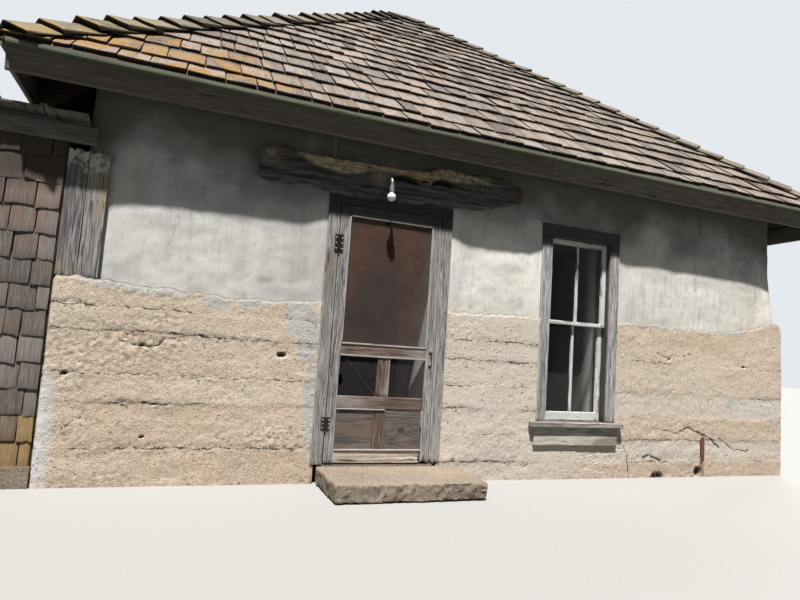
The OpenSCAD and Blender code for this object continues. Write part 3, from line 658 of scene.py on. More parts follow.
def plaster_patch(u0, u1, z0, z1, step_u, step_z, fine=()):
    """A length of the ring from u0 to u1 between two heights, coarser between the two `fine` places; the face
    stands out by plaster_height."""
    ends = [u0, *fine, u1]
    us = np.unique(np.concatenate([np.linspace(a, b, int((b - a) / (step_u * 2.2 if k % 2 else step_u)))
                                   for k, (a, b) in enumerate(zip(ends, ends[1:]))]))
    U, Z = np.meshgrid(us, np.linspace(z0, z1, int((z1 - z0) / step_z)), indexing="ij")
    x, y, nx, ny = ring(U, 3.323, 3.533, 0.02)
    front = ease(-ny, 0.7, 0.95)
    h = plaster_height(x, y, Z, front) + 0.075 * ease(nx, 0.2, 0.9) * ease(y, -3.1, -3.5) * ease(Z, 2.12, 1.5)
    h = np.minimum(h, 0.088 + 0.2 * ease(Z, 1.46, 1.56) + 0.2 * ease(x, 3.25, 3.15))
    back = xyz(x - nx * 0.012, y - ny * 0.012, Z)
    return worked_block(xyz(x + nx * h, y + ny * h, Z), back, {"low": ease(Z, 1.75, 1.38)})


FOOT, TOP = 1.31, 2.895
patches = [plaster_patch(*patch) for patch in (
    (1.16, ROUND - 1.645, FOOT, TOP, 0.024, 0.021, (3.45, ROUND - 3.45)),
    (-0.605, 0.392, FOOT, TOP, 0.02, 0.02), (-1.585, -0.605, 2.225, TOP, 0.02, 0.02),
    (0.392, 1.16, 2.245, TOP, 0.02, 0.02),
)]
print("plaster patches", [p[0].shape[0] for p in patches])

# %% Plaster finish
def hairlines(where, scale, wide, stretch):
    """Thin wandering lines: where a smooth noise passes through its middle value, kept in patches only."""
    smooth = speckle(where, scale, 4.0, 0.6, stretch)
    line = spread(maths("ABSOLUTE", minus(smooth, 0.5), 0.0), wide, wide * 0.3)
    return times(line, spread(speckle(where, 2.7, 2.0), 0.52, 0.66))


def plaster_finish():
    """Pale warm grey in broad clouds, wiped by thin upright and slanting trowel smears, greyer at its foot, and darker
    towards the top from a green stain and painted shade under the eave.
    """
    material, shader = start_finish("plaster")
    where = place()
    x, _, high = parts_of(where)
    side = spread(x, -1.7, -0.6)
    cloud = spread(speckle(where, 0.9, 4.0, 0.6), 0.38, 0.62)
    colour = mixed(side, mixed(cloud, (0.5, 0.485, 0.46), (0.62, 0.61, 0.59)),
                   mixed(cloud, (0.66, 0.635, 0.585), (0.78, 0.765, 0.72)))
    wiped = put("Mapping", {"Vector": where, "Rotation": (0.0, 0.35, 0.0), "Scale": (1.0, 1.0, 0.16)}).outputs[0]
    smears = speckle(wiped, 15.0, 5.0, 0.65, bend=0.4)
    hair = maths("MAXIMUM", hairlines(wiped, 3.4, 0.004, (1.0, 1.0, 0.8)),
                 hairlines(vectors("ADD", wiped, (7.0, 3.0, 1.0)), 9.0, 0.007, (1.0, 1.0, 1.0)))
    foot = times(mark("low"), spread(speckle(where, 4.5), 0.44, 0.6))
    # Darker towards the top: a greenish stain under the eave, deepened by painted shade where the eave's shadow falls.
    top_stain_and_shade = times_plus(speckle(where, 2.4), 0.9, plus(high, -0.45))
    colour = layered(
        colour,
        (spread(speckle(where, 2.2, 3.0, 0.55, (1.0, 1.0, 0.6)), 0.5, 0.66), 0.4, (0.64, 0.57, 0.485)),
        (use(streak_group, {"Place": where})["Streaks"], spread(side, 0.0, 1.0, 0.35, 0.14), (0.42, 0.41, 0.395)),
        (spread(smears, 0.5, 0.66), 0.42, (0.4, 0.39, 0.375)),
        (spread(smears, 0.42, 0.3), 0.5, (0.68, 0.665, 0.635)),
        (spread(speckle(where, 30.0, 3.0, 0.7), 0.58, 0.68), 0.4, (0.33, 0.32, 0.3)),
        (hair, 0.55, (0.24, 0.23, 0.215)),
        (foot, spread(side, 0.0, 1.0, 0.5, 0.25), (0.4, 0.395, 0.375)),
        (spread(top_stain_and_shade, 1.95, 2.25), 0.6, (0.25, 0.28, 0.29)),
        (spread(top_stain_and_shade, 2.15, 2.55), 0.85, (0.115, 0.118, 0.082)),
    )
    surface(shader, colour, 0.93, 0.2)
    sweep = speckle(where, 18.0, 4.0, 0.6, (1.0, 1.0, 0.5))
    sand = use(grit_group, {"Place": where, "Size": 120.0})["Sand"]
    height = plus(plus(times(sweep, 0.8), times(smears, 0.5)), times(sand, 0.14))
    bumped(shader, minus(height, times(hair, 0.4)), 0.85, 0.0045)
    return material


make_piece("plaster_skin", join(patches), plaster_finish())

# %% [markdown]
# ## The cast skirt
# The concrete was poured between boards, lift by lift. Each board left a face at its own depth, the joints are
# rough lines where the mix was stony, and the top edge is round and chipped. At the lower right the face has
# cracked and bulged. The skirt's profile runs up its face, over the edge and back along the ledge.

# %% The cast skirt: its edge, joints and damage
EDGE_X = (-3.44, -3.22, -2.78, -2.24, -1.72, -0.44, 0.25, 1.48, 2.52, 2.95, 3.27, 3.38, 3.44)
EDGE_Z = (1.392, 1.388, 1.365, 1.34, 1.372, 1.393, 1.418, 1.455, 1.456, 1.5, 1.6, 1.585, 1.5)
# Left, middle and right of the front, then the other sides: a seed, how ragged the joints are, and for each joint
# its height and the shade of the lift under it.
LIFTS = (
    (4, 1.0, ((1.207, 0.25), (1.042, -0.2), (0.755, 0.15), (0.56, -0.35), (0.258, -0.6))),
    (6, 0.75, ((1.17, 0.3), (1.0, -0.2), (0.78, 0.35), (0.59, -0.2), (0.387, 0.3), (0.154, -0.3))),
    (5, 0.6, ((1.086, 0.35), (0.789, 1.0), (0.563, -0.25), (0.348, 0.9), (0.145, -0.4))),
    (3, 0.7, ((1.19, 0.4), (0.98, -0.3), (0.79, 0.5), (0.58, -0.2), (0.37, 0.4), (0.16, -0.3))),
)
# Half the width of each crack, and its line.
CRACKS = (
    (0.008, (1.637, 0.458), (1.779, 0.451), (1.924, 0.426), (2.058, 0.4)),
    (0.017, (2.008, 0.446), (2.118, 0.474), (2.257, 0.431), (2.36, 0.394), (2.424, 0.367), (2.477, 0.32),
     (2.529, 0.292)),
    (0.012, (2.527, 0.377), (2.634, 0.321), (2.754, 0.255), (2.957, 0.256)),
    (0.016, (1.565, 0.19), (1.646, 0.198), (1.741, 0.172), (1.824, 0.158)),
    (0.009, (1.269, 0.278), (1.335, 0.286), (1.372, 0.217), (1.381, 0.094), (1.399, 0.0)),
    (0.01, (0.213, 0.136), (0.263, 0.102), (0.3, 0.135)),
    (0.007, (1.708, 1.181), (1.793, 1.14), (1.976, 1.16), (2.238, 1.214)),
    (0.008, (2.726, 1.126), (2.848, 1.102), (2.985, 1.09)),
    (0.006, (-3.165, 0.55), (-3.186, 0.471), (-3.292, 0.372)),
    (0.009, (-2.93, 0.96), (-2.822, 0.944), (-2.745, 0.976), (-2.716, 1.013), (-2.6, 1.03)),
)
HOLES = ((2.25, 0.05, 0.045, 0.05), (2.315, 0.262, 0.03, 0.118), (1.74, 0.0, 0.07, 0.055),
         (2.86, 1.1, 0.016, 0.012), (-3.31, 0.74, 0.018, 0.014), (-2.8, 0.33, 0.016, 0.012),
         (-2.86, 0.955, 0.022, 0.01), (-1.9, 0.945, 0.035, 0.022), (3.3, 1.33, 0.012, 0.01),
         (1.86, 1.125, 0.02, 0.01))
SMEARS = ((-2.98, 1.385, 0.3, 0.055), (-2.82, 1.35, 0.22, 0.05), (-2.28, 1.32, 0.22, 0.075),
          (-2.0, 1.36, 0.25, 0.045), (-1.78, 1.25, 0.13, 0.17), (-1.72, 1.08, 0.08, 0.17), (-1.65, 0.6, 0.07, 0.34),
          (1.9, 1.45, 0.5, 0.03), (2.5, 1.47, 0.3, 0.05), (2.68, 0.72, 0.06, 0.06))


def skirt_relief(x, y, u, z, front):
    """Returns the height out of the plane and the marks: board steps, ragged joints, stony areas, cracks, holes."""
    p, q, line_on = xyz(x, y, z), xyz(u, 0 * u, z), xyz(u, 0 * u, 0 * z)
    h = -0.004 + 0.0045 * ripple(p, 0.7, 5) + 0.0022 * ripple(p, (0.1, 0.1, 0.06), 12)
    h = h + 0.0013 * ripple(p, (0.028, 0.028, 0.02), 14)
    stony = ease(ripple(q, (0.55, 1.0, 0.17), 33, 3), -0.15, 0.6) * (1 - 0.5 * front * ease(x, -1.1, -0.6))
    joint, rubble, lift, weakest = (np.zeros(np.shape(x)) for _ in range(4))
    offset = np.full(np.shape(x), 0.2)
    zones = (front * (x < -1.1), front * (x >= -1.1) * (x < 0.8), front * (x >= 0.8), 1 - front)
    for (number, raggedness, lifts), zone in zip(LIFTS, (zone > 0.5 for zone in zones)):
        step = np.zeros(np.shape(x))
        for k, (level, shade) in enumerate(lifts):
            wave = level + 0.007 * ripple(line_on, 0.35, 60 + k) + 0.0035 * ripple(line_on, 0.05, 70 + k, 1)
            weak = ease(ripple(line_on, 0.42, 80 + 7 * k + number), -0.35, 0.55)
            weak = np.maximum(weak, 0.55) if number == 4 and k in (1, 2) else weak * raggedness
            away = np.abs(z - wave)
            joint = np.where(zone, np.maximum(joint, weak * ease(away, 0.006 + 0.012 * weak, 0.0)), joint)
            rubble = np.where(zone, np.maximum(rubble, weak * ease(away, 0.055, 0.0)), rubble)
            nearer = zone & (away < np.abs(offset))
            offset, weakest = np.where(nearer, z - wave, offset), np.where(nearer, weak, weakest)
            past = ease(wave - z, -0.006, 0.006)
            step += (0.0024 if k % 2 else -0.002) * (1 - past)
            fading = ease(np.sin(2.1 * u + 1.7 * k + number), -2.2, 0.4)
            lift = np.where(zone, lift * (1 - past) + past * shade * fading, lift)
        h = h + np.where(zone, step, 0)
    bits = 0.0044 * ripple(p, (0.017, 0.017, 0.012), 15, 1) * np.maximum(rubble, stony * 0.8)
    h = h - 0.003 * joint * (0.55 + 0.45 * ripple(p, 0.02, 40, 1)) + bits
    crack, split = np.zeros(np.shape(x)), np.full(np.shape(x), 0.1)
    jag = 0.012 * ripple(p, 0.05, 50, 3)
    for wide, *line in CRACKS:
        away = along_line(x + jag, z - jag, line)
        crack = np.maximum(crack, ease(away, wide, wide * 0.25))
        split = np.minimum(split, away * 0.012 / wide)
    bulge = np.exp(-(((x - 2.05) / 0.75) ** 2 + ((z - 0.22) / 0.22) ** 2)) * front
    h = h - 0.0025 * crack * front + 0.004 * bulge + 0.005 * bulge * ripple(p, 0.09, 44)
    hole = spots(x, z, HOLES, 0.6, 1.15) * front
    rusty = ease(np.abs(x - 2.3), 0.05, 0.015) * ease(z, 0.2, 0.12) * ease(z, -0.02, 0.05) * front
    return np.minimum(h - 0.035 * hole, 0.0), {
        "dark": hole, "stony": np.maximum(stony, rubble * 0.8), "lift": lift, "rusty": rusty, "offset": offset,
        "weak": weakest, "split": np.where(front > 0.5, split, 0.1)}


SKIRT_X, SKIRT_Y, SKIRT_CORNER = 3.44, 3.65, 0.035


def skirt_length(u0, u1, cell, level=None):
    """The profile: up the face to the edge, a rounded turn, and back over the ledge; carried along the ring."""
    rise, turn = np.linspace(0, 1, int(1.4 / cell)), np.linspace(0, 1, 7)[1:]
    us = np.linspace(u0, u1, int((u1 - u0) / cell))
    U, V = np.meshgrid(us, np.arange(len(rise) + len(turn)), indexing="ij")
    x, y, nx, ny = ring(U, SKIRT_X, SKIRT_Y, SKIRT_CORNER)
    front = (ny < -0.5).astype(float)
    flat = xyz(x, y, 0 * x)
    top = front_edge(x, y, front) if level is None else level
    top = top + 0.01 * ripple(flat, 0.06, 90) + 0.006 * ripple(flat, 0.4, 91)
    radius = 0.02 + 0.008 * ripple(flat, 0.22, 93)
    over = np.concatenate([0 * rise, turn])[None, :] + 0 * U
    z_face = (top - radius) * np.concatenate([rise, 0 * turn + 1])[None, :]
    h, marks = skirt_relief(x, y, U, z_face, front)
    quarter = np.minimum(over * 2.5, 1.0) * math.pi / 2
    past = np.maximum(over * 2.5 - 1, 0) / 1.5
    inset = np.where(over > 0, radius * (1 - np.cos(quarter)) + past * (0.112 - radius), 0)
    z = z_face + np.where(over > 0, radius * np.sin(quarter) + past * 0.018, 0)
    z = z + 0.004 * ripple(xyz(x, y, over), 0.03, 95) * (over > 0.2)
    out = h * (1 - 0.5 * over) - inset
    z_back = (top - 0.012) * np.linspace(0, 1, V.shape[1])[None, :]
    marks["over"] = over
    marks["lime"] = front * ease(x, -3.308, -3.4) * ease(z, 0.85, 0.55) * (x < -3.2)
    marks["smear"] = spots(x, z, SMEARS, 0.75, 1.25, 0.25 * ripple(xyz(x, 0 * x, z), 0.06, 97)) * front
    return worked_block(xyz(x + nx * out, y + ny * out, z), xyz(x - nx * 0.116, y - ny * 0.116, z_back), marks)


def front_edge(x, y, front):
    """The skirt's top: the measured edge on the front, level on the other sides but for the right corner."""
    side = np.where((x > 3.3) & (y < -2.9), np.interp(y, (-3.65, -3.3, -2.9), (1.47, 1.4, 1.366)), 1.366)
    return np.where(front > 0.5, np.interp(x, EDGE_X, EDGE_Z), side)


FINE, COARSE = 0.0125, 0.03
FRONT_CORNER, RIGHT_REAR, LEFT_REAR = 3.6, 10.54, 17.62
half_round = 2 * (SKIRT_X + SKIRT_Y) - 4 * SKIRT_CORNER + math.pi * SKIRT_CORNER
SKIRTS = (
    ("skirt_left", "skirt_front_left", -FRONT_CORNER, -1.6, FINE),
    ("skirt_middle", "skirt_front_middle", -0.586, 0.382, FINE),
    ("skirt_right", "skirt_front_right", 1.172, FRONT_CORNER, FINE),
    ("skirt_below_window", "skirt_under_window", 0.382, 1.172, FINE, 0.468),
    ("skirt_right_side", "skirt_sides", FRONT_CORNER, RIGHT_REAR, COARSE),
    ("skirt_rear", "skirt_back", RIGHT_REAR, LEFT_REAR, COARSE),
    ("skirt_left_side", None, LEFT_REAR, 2 * half_round - FRONT_CORNER, COARSE),
)
skirt_parts = {name: (node, skirt_length(*shape)) for name, node, *shape in SKIRTS}
print("skirt lengths", {k: len(v[1][0]) for k, v in skirt_parts.items()}, "| half way round", round(half_round, 3))

# %% Cast concrete finish
def concrete_finish(name, warm, pale, deep, size=75.0, bands=True):
    """Sandy colour in level bands, speckled with grit; lifts paler or pinker; darker in joints and cracks; the ledge
    over the top edge painted dark as shade.
    """
    material, shader = start_finish(name)
    where = place()
    x, _, z = parts_of(where)
    dark = (0.05, 0.038, 0.03)
    grit = use(grit_group, {"Place": where, "Size": size})
    coarse = use(grit_group, {"Place": where, "Size": size * 0.42})
    bed = speckle(where, 2.6, 5.0, 0.65, (0.6, 0.6, 2.6))
    foot = times(spread(z, 0.42, 0.05), spread(speckle(where, 2.0), 0.3, 0.6))
    colour = layered(mixed(spread(bed, 0.36, 0.62), warm, pale),
                     (spread(speckle(where, 1.6, 4.0, 0.6), 0.5, 0.66), 0.45, deep), (foot, 0.6, deep))
    if bands:
        colour = mixed(times(mark("lift"), 0.85, use_clamp=True), colour, (0.66, 0.62, 0.56))
        colour = mixed(times(mark("lift"), -0.7, use_clamp=True), colour, (0.56, 0.42, 0.315))
    colour = layered(colour, (spread(grit["Sand"], 0.5, 0.66), 0.5, tinted(pale, 1.25)),
                     (spread(grit["Sand"], 0.47, 0.34), 0.55, tinted(warm, 0.5)),
                     (spread(grit["Pebbles"], 0.85, 0.97), 0.35, tinted(warm, 0.5)))
    if bands:
        stony, weak = mark("stony"), mark("weak")
        ragged = times_plus(speckle(where, 11.0, 4.0, 0.65), 0.05, -0.033)
        ragged = times_plus(speckle(where, 70.0, 3.0, 0.65), 0.016, ragged)
        off = maths("ABSOLUTE", plus(mark("offset"), ragged), 0.0)
        swell = times(spread(speckle(where, 18.0, 3.0, 0.65), 0.42, 0.66), weak)
        seam = spread(minus(off, times(swell, 0.0085)), 0.0016, 0.0002)
        seam = times(seam, spread(times_plus(speckle(where, 5.0), 0.8, weak), 0.42, 0.75))
        crack = plus(mark("split"), times_plus(speckle(where, 40.0, 4.0, 0.75), 0.03, -0.015))
        seam = maths("MAXIMUM", seam, maths("MAXIMUM", spread(crack, 0.009, 0.0055), mark("dark")))
        colour = layered(
            colour,
            (times(spread(x, -0.9, -0.4), spread(x, 1.1, 0.5)), 0.55, (0.68, 0.645, 0.585)),
            (spread(speckle(where, 34.0, 3.0, 0.75), 0.565, 0.63), times_plus(stony, 0.45, 0.16), tinted(warm, 0.18)),
            (stony, 0.5, mixed(spread(coarse["Sand"], 0.4, 0.56), tinted(warm, 0.42), tinted(pale, 1.1))),
            (times(mark("smear"), spread(speckle(where, 9.0), 0.3, 0.42)), 0.9, (0.48, 0.482, 0.457)),
            (times(mark("lime"), spread(speckle(where, 7.0), 0.3, 0.45)), 1, (0.62, 0.62, 0.61)),
            # Painted shade: the ledge over the top edge is made nearly black, so that it reads as a dark line under the
            # plaster.
            (spread(mark("over"), 0.03, 0.3, 0.0, 0.95), 1, (0.115, 0.105, 0.092)),
            (mark("rusty"), 0.7, (0.2, 0.1, 0.05)),
            (times(spread(off, 0.055, 0.0), spread(coarse["Sand"], 0.5, 0.62)), times(weak, 0.9), tinted(warm, 0.25)),
            (seam, 0.9, dark),
        )
    surface(shader, layered(colour, (grit["Pits"], 0.45, tinted(dark, 2.6))), 0.95, 0.2)
    height = plus(times(coarse["Sand"], 0.3), times(grit["Sand"], 0.8))
    bumped(shader, minus(height, times(grit["Pits"], 0.5)), 1.0, 0.0055)
    return material


cast = concrete_finish("concrete", (0.57, 0.455, 0.345), (0.65, 0.555, 0.45), (0.57, 0.44, 0.335), size=78.0)
for name, (node, part) in skirt_parts.items():
    make_piece(name, part, cast, stands_for=(node,) if node else ())

# %% [markdown]
# ## Shakes
# A shake is a split board, thick at its lower end and thin at the top, so each course lies on the one below like
# a stair. One shake is a small grid of points; whole-array sums copy it along each course with its own width,
# tilt, cupping and shade. Courses follow the measured butt lines, and the outer shakes are cut along the hip.

# %% Shakes: one small grid copied many times
PITCH = math.radians(40.6)
RUN, RISE = math.cos(PITCH), math.sin(PITCH)
ROOF_X, ROOF_HALF, DRIP_Z = 0.0905, 3.932, 2.8 - 0.045 * math.tan(PITCH)
SLOPE_LONG = ROOF_HALF / RUN
SIDES = ("front", "right", "back", "left")
COURSES = (0.048, 0.27, 0.572, 0.868, 1.15, 1.428, 1.705, 1.985, 2.258, 2.53, 2.808, 3.08, 3.352, 3.624, 3.896,
           4.166, 4.436, 4.7, 4.93)


def on_slope(side, a, s, h):
    """A place on one roof side: a along the eave from its middle, s up the slope from the drip, h out of the boards."""
    out = np.array([(0, -1), (1, 0), (0, 1), (-1, 0)][SIDES.index(side)], float)
    far = ROOF_HALF - s * RUN + h * RISE
    return xyz(ROOF_X - out[1] * a + out[0] * far, out[0] * a + out[1] * far, DRIP_Z + s * RISE + h * RUN)


P_ACROSS = np.array([0, 0.05, 0.35, 0.65, 0.95, 1.0])
Q_UP = np.array([0.0, 0.07, 0.38, 0.7, 1.0])
TOP_POINTS, SHAKE_POINTS = 30, 34
IDS = np.arange(TOP_POINTS).reshape(6, 5)
SHAKE_FACES = [
    xyz(IDS[:-1, :-1], IDS[1:, :-1], IDS[1:, 1:], IDS[:-1, 1:]).reshape(-1, 4),
    np.array([[30, 31, *IDS[::-1, 0]]]), np.array([[*IDS[:, -1], 32, 33]]),
    np.array([[30, *IDS[0, :], 33]]), np.array([[32, *IDS[-1, ::-1], 31]]), np.array([[31, 30, 33, 32]]),
]


def lay_shakes(a0, a1, s0, long, thick, under, seed, lift, wild=1.0):
    """For N shakes: heights fall from thick at the butt to 8% of it at the head; gives the a, s and h of N x 34
    points, 30 on the top and 4 below, and their marks."""
    rng = np.random.default_rng(seed)
    n = len(a0)
    a0, a1, s0, long, thick, lift = (np.reshape(v, (-1, 1)) for v in (a0, a1, s0, long, thick, lift))
    p, q = (v.ravel()[None] for v in np.meshgrid(P_ACROSS, Q_UP, indexing="ij"))

    def chance(middle, width):
        return rng.normal(middle, width, n)[:, None]

    a = a0 + (a1 - a0) * p + chance(0, 0.004) * wild * (q - 0.3)
    s = s0 + long * q + chance(0, 0.007) * (p - 0.5) * wild
    bend = chance(0.0012, 0.002) * (2 * p - 1) ** 2 + chance(0, 0.0022) * (2 * p - 1) * wild
    each = np.arange(n)[:, None] + 0 * a
    grooves = 0.0016 * ripple(xyz(a, 0.08 * s, each), (0.022, 0.05, 0.7), seed)
    worn = -0.003 * (q < 0.03) - 0.0016 * ((p < 0.02) | (p > 0.98))
    h_top = under + thick * (1 - 0.92 * q) + bend + grooves + worn + lift * (1 - q) ** 1.3
    s = s + 0.009 * ripple(xyz(a, 0 * a, each * 1.7), (0.03, 1, 1), seed + 2) * (q < 0.2) * wild
    head = np.array([[0, 0, 1, 1]])
    low_a = np.concatenate([a0, a1, a1, a0], 1)
    A = np.concatenate([a, low_a], 1)
    S = np.concatenate([s, s0 + long * head + 0.002], 1)
    H = np.concatenate([h_top, under - 0.004 + lift * 0.9 * (1 - head)], 1)
    marks = {
        "butt": np.concatenate([np.where(q < 0.03, 0.12, 0), 1 - 0.4 * head], 1) + 0 * A,
        "tone": rng.uniform(-1, 1, n)[:, None] + 0 * A, "rough": rng.uniform(0, 1, n)[:, None] + 0 * A,
        "up": np.concatenate([q, head], 1) + 0 * A,
    }
    offset = rng.uniform(0, 40, n)[:, None]
    marks["grain"] = xyz(S + offset, A + offset * 0.7, H + offset * 0.3)
    return A, S, H, marks


def kept_shakes(points, marks, keep=None, outward=True):
    """The shakes that are kept, as one part: each is the same few faces, their point numbers moved up."""
    keep = np.ones(len(points), bool) if keep is None else keep
    shift = (np.arange(keep.sum()) * SHAKE_POINTS)[:, None, None]
    faces = [(block[None] + shift).reshape(-1, block.shape[1]) for block in SHAKE_FACES]
    marks = {k: v[keep].reshape(-1, 3) if k == "grain" else v[keep].ravel() for k, v in marks.items()}
    return points[keep].reshape(-1, 3), faces if outward else [f[:, ::-1] for f in faces], marks


def split_widths(left, right_, rng, narrow=0.1, wide=0.27, gap=0.008):
    """Cuts a course into random widths with small gaps; returns the left and right edge of every shake."""
    widths = rng.uniform(narrow, wide, int((right_ - left) / narrow) + 2)
    edges = left + np.concatenate([[0], np.cumsum(widths)])
    edges = np.append(edges[edges < right_ - narrow * 0.6], right_)
    n = len(edges) - 1
    return edges[:-1] + gap * rng.uniform(0.3, 1.1, n), edges[1:] - gap * rng.uniform(0.3, 1.1, n)


def lichen_amount(p):
    """How much lichen can grow at a place: most on the left of the front eave, some on corners and lower courses."""
    x, y, z = p.T
    height = z - DRIP_Z
    front_left = ease(x, -1.1, -2.6) * ease(height, 1.1, 0.15) * (y < -1.5)
    mid = 0.45 * ease(x, 2.0, -2.0) * ease(height, 1.4, 0.1) * (y < -1.0)
    corner = 0.75 * ease(np.abs(x - ROOF_X) + np.abs(y), 7.0, 7.8)
    return np.clip(np.maximum.reduce([front_left, mid, corner, 0.35 * ease(height, 0.9, 0.1)]) + 0.12, 0, 1)


def shake_slope(side, seed):
    """All courses of one side; points past the hip line are pulled back onto it."""
    rng = np.random.default_rng(seed)
    rows = []
    for s, above in zip(COURSES, COURSES[1:] + (SLOPE_LONG,)):
        wide_here = ROOF_HALF - s * RUN
        if wide_here < 0.12:
            continue
        a0, a1 = split_widths(-wide_here - rng.uniform(0, 0.12), wide_here, rng)
        n = len(a0)
        jitter = np.abs(rng.normal(0, 0.01, n)) + (rng.random(n) < 0.08) * rng.uniform(0.0, 0.03, n)
        thick = rng.uniform(0.027, 0.035, n) + (rng.random(n) < 0.12) * rng.uniform(-0.01, 0.0, n)
        long = np.full(n, min(above - s + 0.035, (SLOPE_LONG - s) * 0.92))
        rows.append((a0, a1, s + jitter + (0.003 if s == COURSES[0] else 0), long, thick))
    shakes = [np.concatenate(column) for column in zip(*rows)]
    lift = (np.random.default_rng(seed + 1).random(len(shakes[0])) < 0.04) * 0.004
    A, S, H, marks = lay_shakes(*shakes, 0.0205, seed + 2, lift)
    limit = ROOF_HALF - S * RUN + H * RISE - 0.004
    A = np.clip(A, -limit, limit)
    keep = np.ptp(A[:, :TOP_POINTS], 1) > 0.03
    points, faces, marks = kept_shakes(on_slope(side, A, S, np.minimum(H, 0.0545)), marks, keep)
    return points, faces, {**marks, "lichen": lichen_amount(points)}


def deck_boards(side):
    """Boards under the shakes, set close so that no sun falls through, their ends cut on the hip."""
    s0 = np.arange(0.03, SLOPE_LONG - 0.15, 0.205)
    s1 = np.minimum(s0 + 0.204, SLOPE_LONG - 0.02)
    half0, half1 = (ROOF_HALF - s * RUN - 0.006 for s in (s0, s1))
    A, S = xyz(-half0, half0, half1, -half1), xyz(s0, s0, s1, s1)
    points = np.concatenate([on_slope(side, A, S, 0 * A + h) for h in (0.0006, 0.0175)], 1).reshape(-1, 3)
    box = np.array([[3, 2, 1, 0], [4, 5, 6, 7], [0, 1, 5, 4], [1, 2, 6, 5], [2, 3, 7, 6], [3, 0, 4, 7]])
    faces = (box[None] + (np.arange(len(s0)) * 8)[:, None, None]).reshape(-1, 4)
    both, up = np.concatenate([A, A], 1), np.concatenate([S, S], 1)
    tone = np.repeat(np.random.default_rng(7).uniform(-1, 1, len(s0)), 8)
    grain = xyz(both, up, 0 * up + np.arange(len(s0))[:, None]).reshape(-1, 3)
    return points, [faces], {"grain": grain, "tone": tone, "edge": 0 * tone}

# %% Shake finish
def shake_finish(name, light, dark, pink, lichen_weight=0.75, ochre=(0.29, 0.165, 0.055)):
    """Silver to pink-brown wood with fine ridges, butts and heads darkened as painted shade, and orange, yellow and
    grey lichen.
    """
    material, shader = start_finish(name)
    # Near black: the colour of the checks, and the painted shade of the butts.
    butt = (0.02, 0.017, 0.015)
    where, spot, lichen = mark("grain", True), place(), mark("lichen")
    grain = use(grain_group, {"Place": where, "Fibre": 95.0, "Checks": 0.55})
    grown = use(lichen_group, {"Place": spot, "Amount": times(lichen, lichen_weight), "Size": 26.0})
    kind = speckle(spot, 3.2, 2.0, 0.5)
    growth = layered((0.24, 0.215, 0.11), (spread(kind, 0.36, 0.46), 1, ochre),
                     (spread(kind, 0.6, 0.66), 1, (0.31, 0.295, 0.22)))
    growth = mixed(grown["Shade"], mixed(0.5, growth, (0.1, 0.07, 0.035)), growth)
    bright = times(spread(lichen, 0.45, 1.0), spread(speckle(spot, 6.0, 4.0), 0.42, 0.6))
    bright = times(bright, spread(grain["Fibres"], 0.38, 0.58, 0.35), use_clamp=True)
    colour = layered(
        mixed(spread(times_plus(mark("tone"), 0.11, grain["Fibres"]), 0.34, 0.66), dark, light),
        (spread(mark("rough"), 0.3, 1.0), 0.55, pink), (spread(grain["Bands"], 0.5, 0.68), 0.4, tinted(dark, 0.5)),
        (grain["Checks"], 0.75, butt), (grown["Cover"], 0.85, growth), (bright, 0.8, ochre),
        # Painted shade: heads, seen only in the gaps between shakes, are darkened, and butt faces and undersides go
        # nearly black.
        (spread(mark("up"), 0.66, 0.94), 0.8, tinted(dark, 0.35)), (spread(mark("butt"), 0.15, 0.42), 1, butt),
    )
    surface(shader, colour, 0.9, 0.2)
    bumped(shader, plus(grain["Height"], times(grown["Cover"], 0.5)), 0.9, 0.0028)
    return material


shake_wood = shake_finish("shakes", (0.305, 0.27, 0.243), (0.1, 0.082, 0.07), (0.33, 0.258, 0.21))
deck_wood = wood_finish("rafter_wood", (0.1, 0.082, 0.066), (0.045, 0.036, 0.028), checks=0.4)
for number, side in enumerate(SIDES):
    make_piece("shakes_" + side, shake_slope(side, 100 + 10 * number), shake_wood,
               stands_for=("roof_" + side,), crease=50)
    make_piece("deck_" + side, deck_boards(side), deck_wood)

# %% [markdown]
# ## Hip caps
# Each hip is covered by pairs of shakes laid square to it, one on each side, that meet over the hip line. On
# the left hip their lower ends have lifted and stand against the sky.

# %% Hip caps
def cap_run(side, hand, seed, lifted):
    """Caps along one hip on one side: W is the distance from the hip line, T the distance up it from the corner."""
    rng = np.random.default_rng(seed)
    long_hip = math.hypot(ROOF_HALF, SLOPE_LONG)
    t0 = 0.085 + 0.272 * np.arange(23)
    t0 = t0[t0 < long_hip - 0.12]
    n = len(t0)
    t0 = t0 + rng.normal(0, 0.007, n)
    t0[0] = 0.095
    wide, thick = rng.uniform(0.165, 0.215, n), rng.uniform(0.018, 0.026, n)
    lift = lifted * rng.uniform(0.3, 1.0, n) + rng.uniform(0, 0.003, n)
    long = np.minimum(0.34, long_hip - 0.03 - t0)
    W, T, H, marks = lay_shakes(0 * t0, wide, t0, long, thick, 0.0565, seed + 1, lift, wild=0.6)
    W = W - 0.518 * (H + rng.normal(0, 0.001, n)[:, None])
    A = hand * (ROOF_HALF - ROOF_HALF / long_hip * T - SLOPE_LONG / long_hip * W)
    S = SLOPE_LONG / long_hip * T - ROOF_HALF / long_hip * W
    points, faces, marks = kept_shakes(on_slope(side, A, S, H), marks, outward=hand < 0)
    points = np.minimum(points, np.array(cad_high) - (0.001, 0.001, 0.0005))
    lichen = lichen_amount(points) + 0.25 * ease(points[:, 2], 4.2, 2.9)
    return points, faces, {**marks, "lichen": np.clip(lichen, 0, 1)}


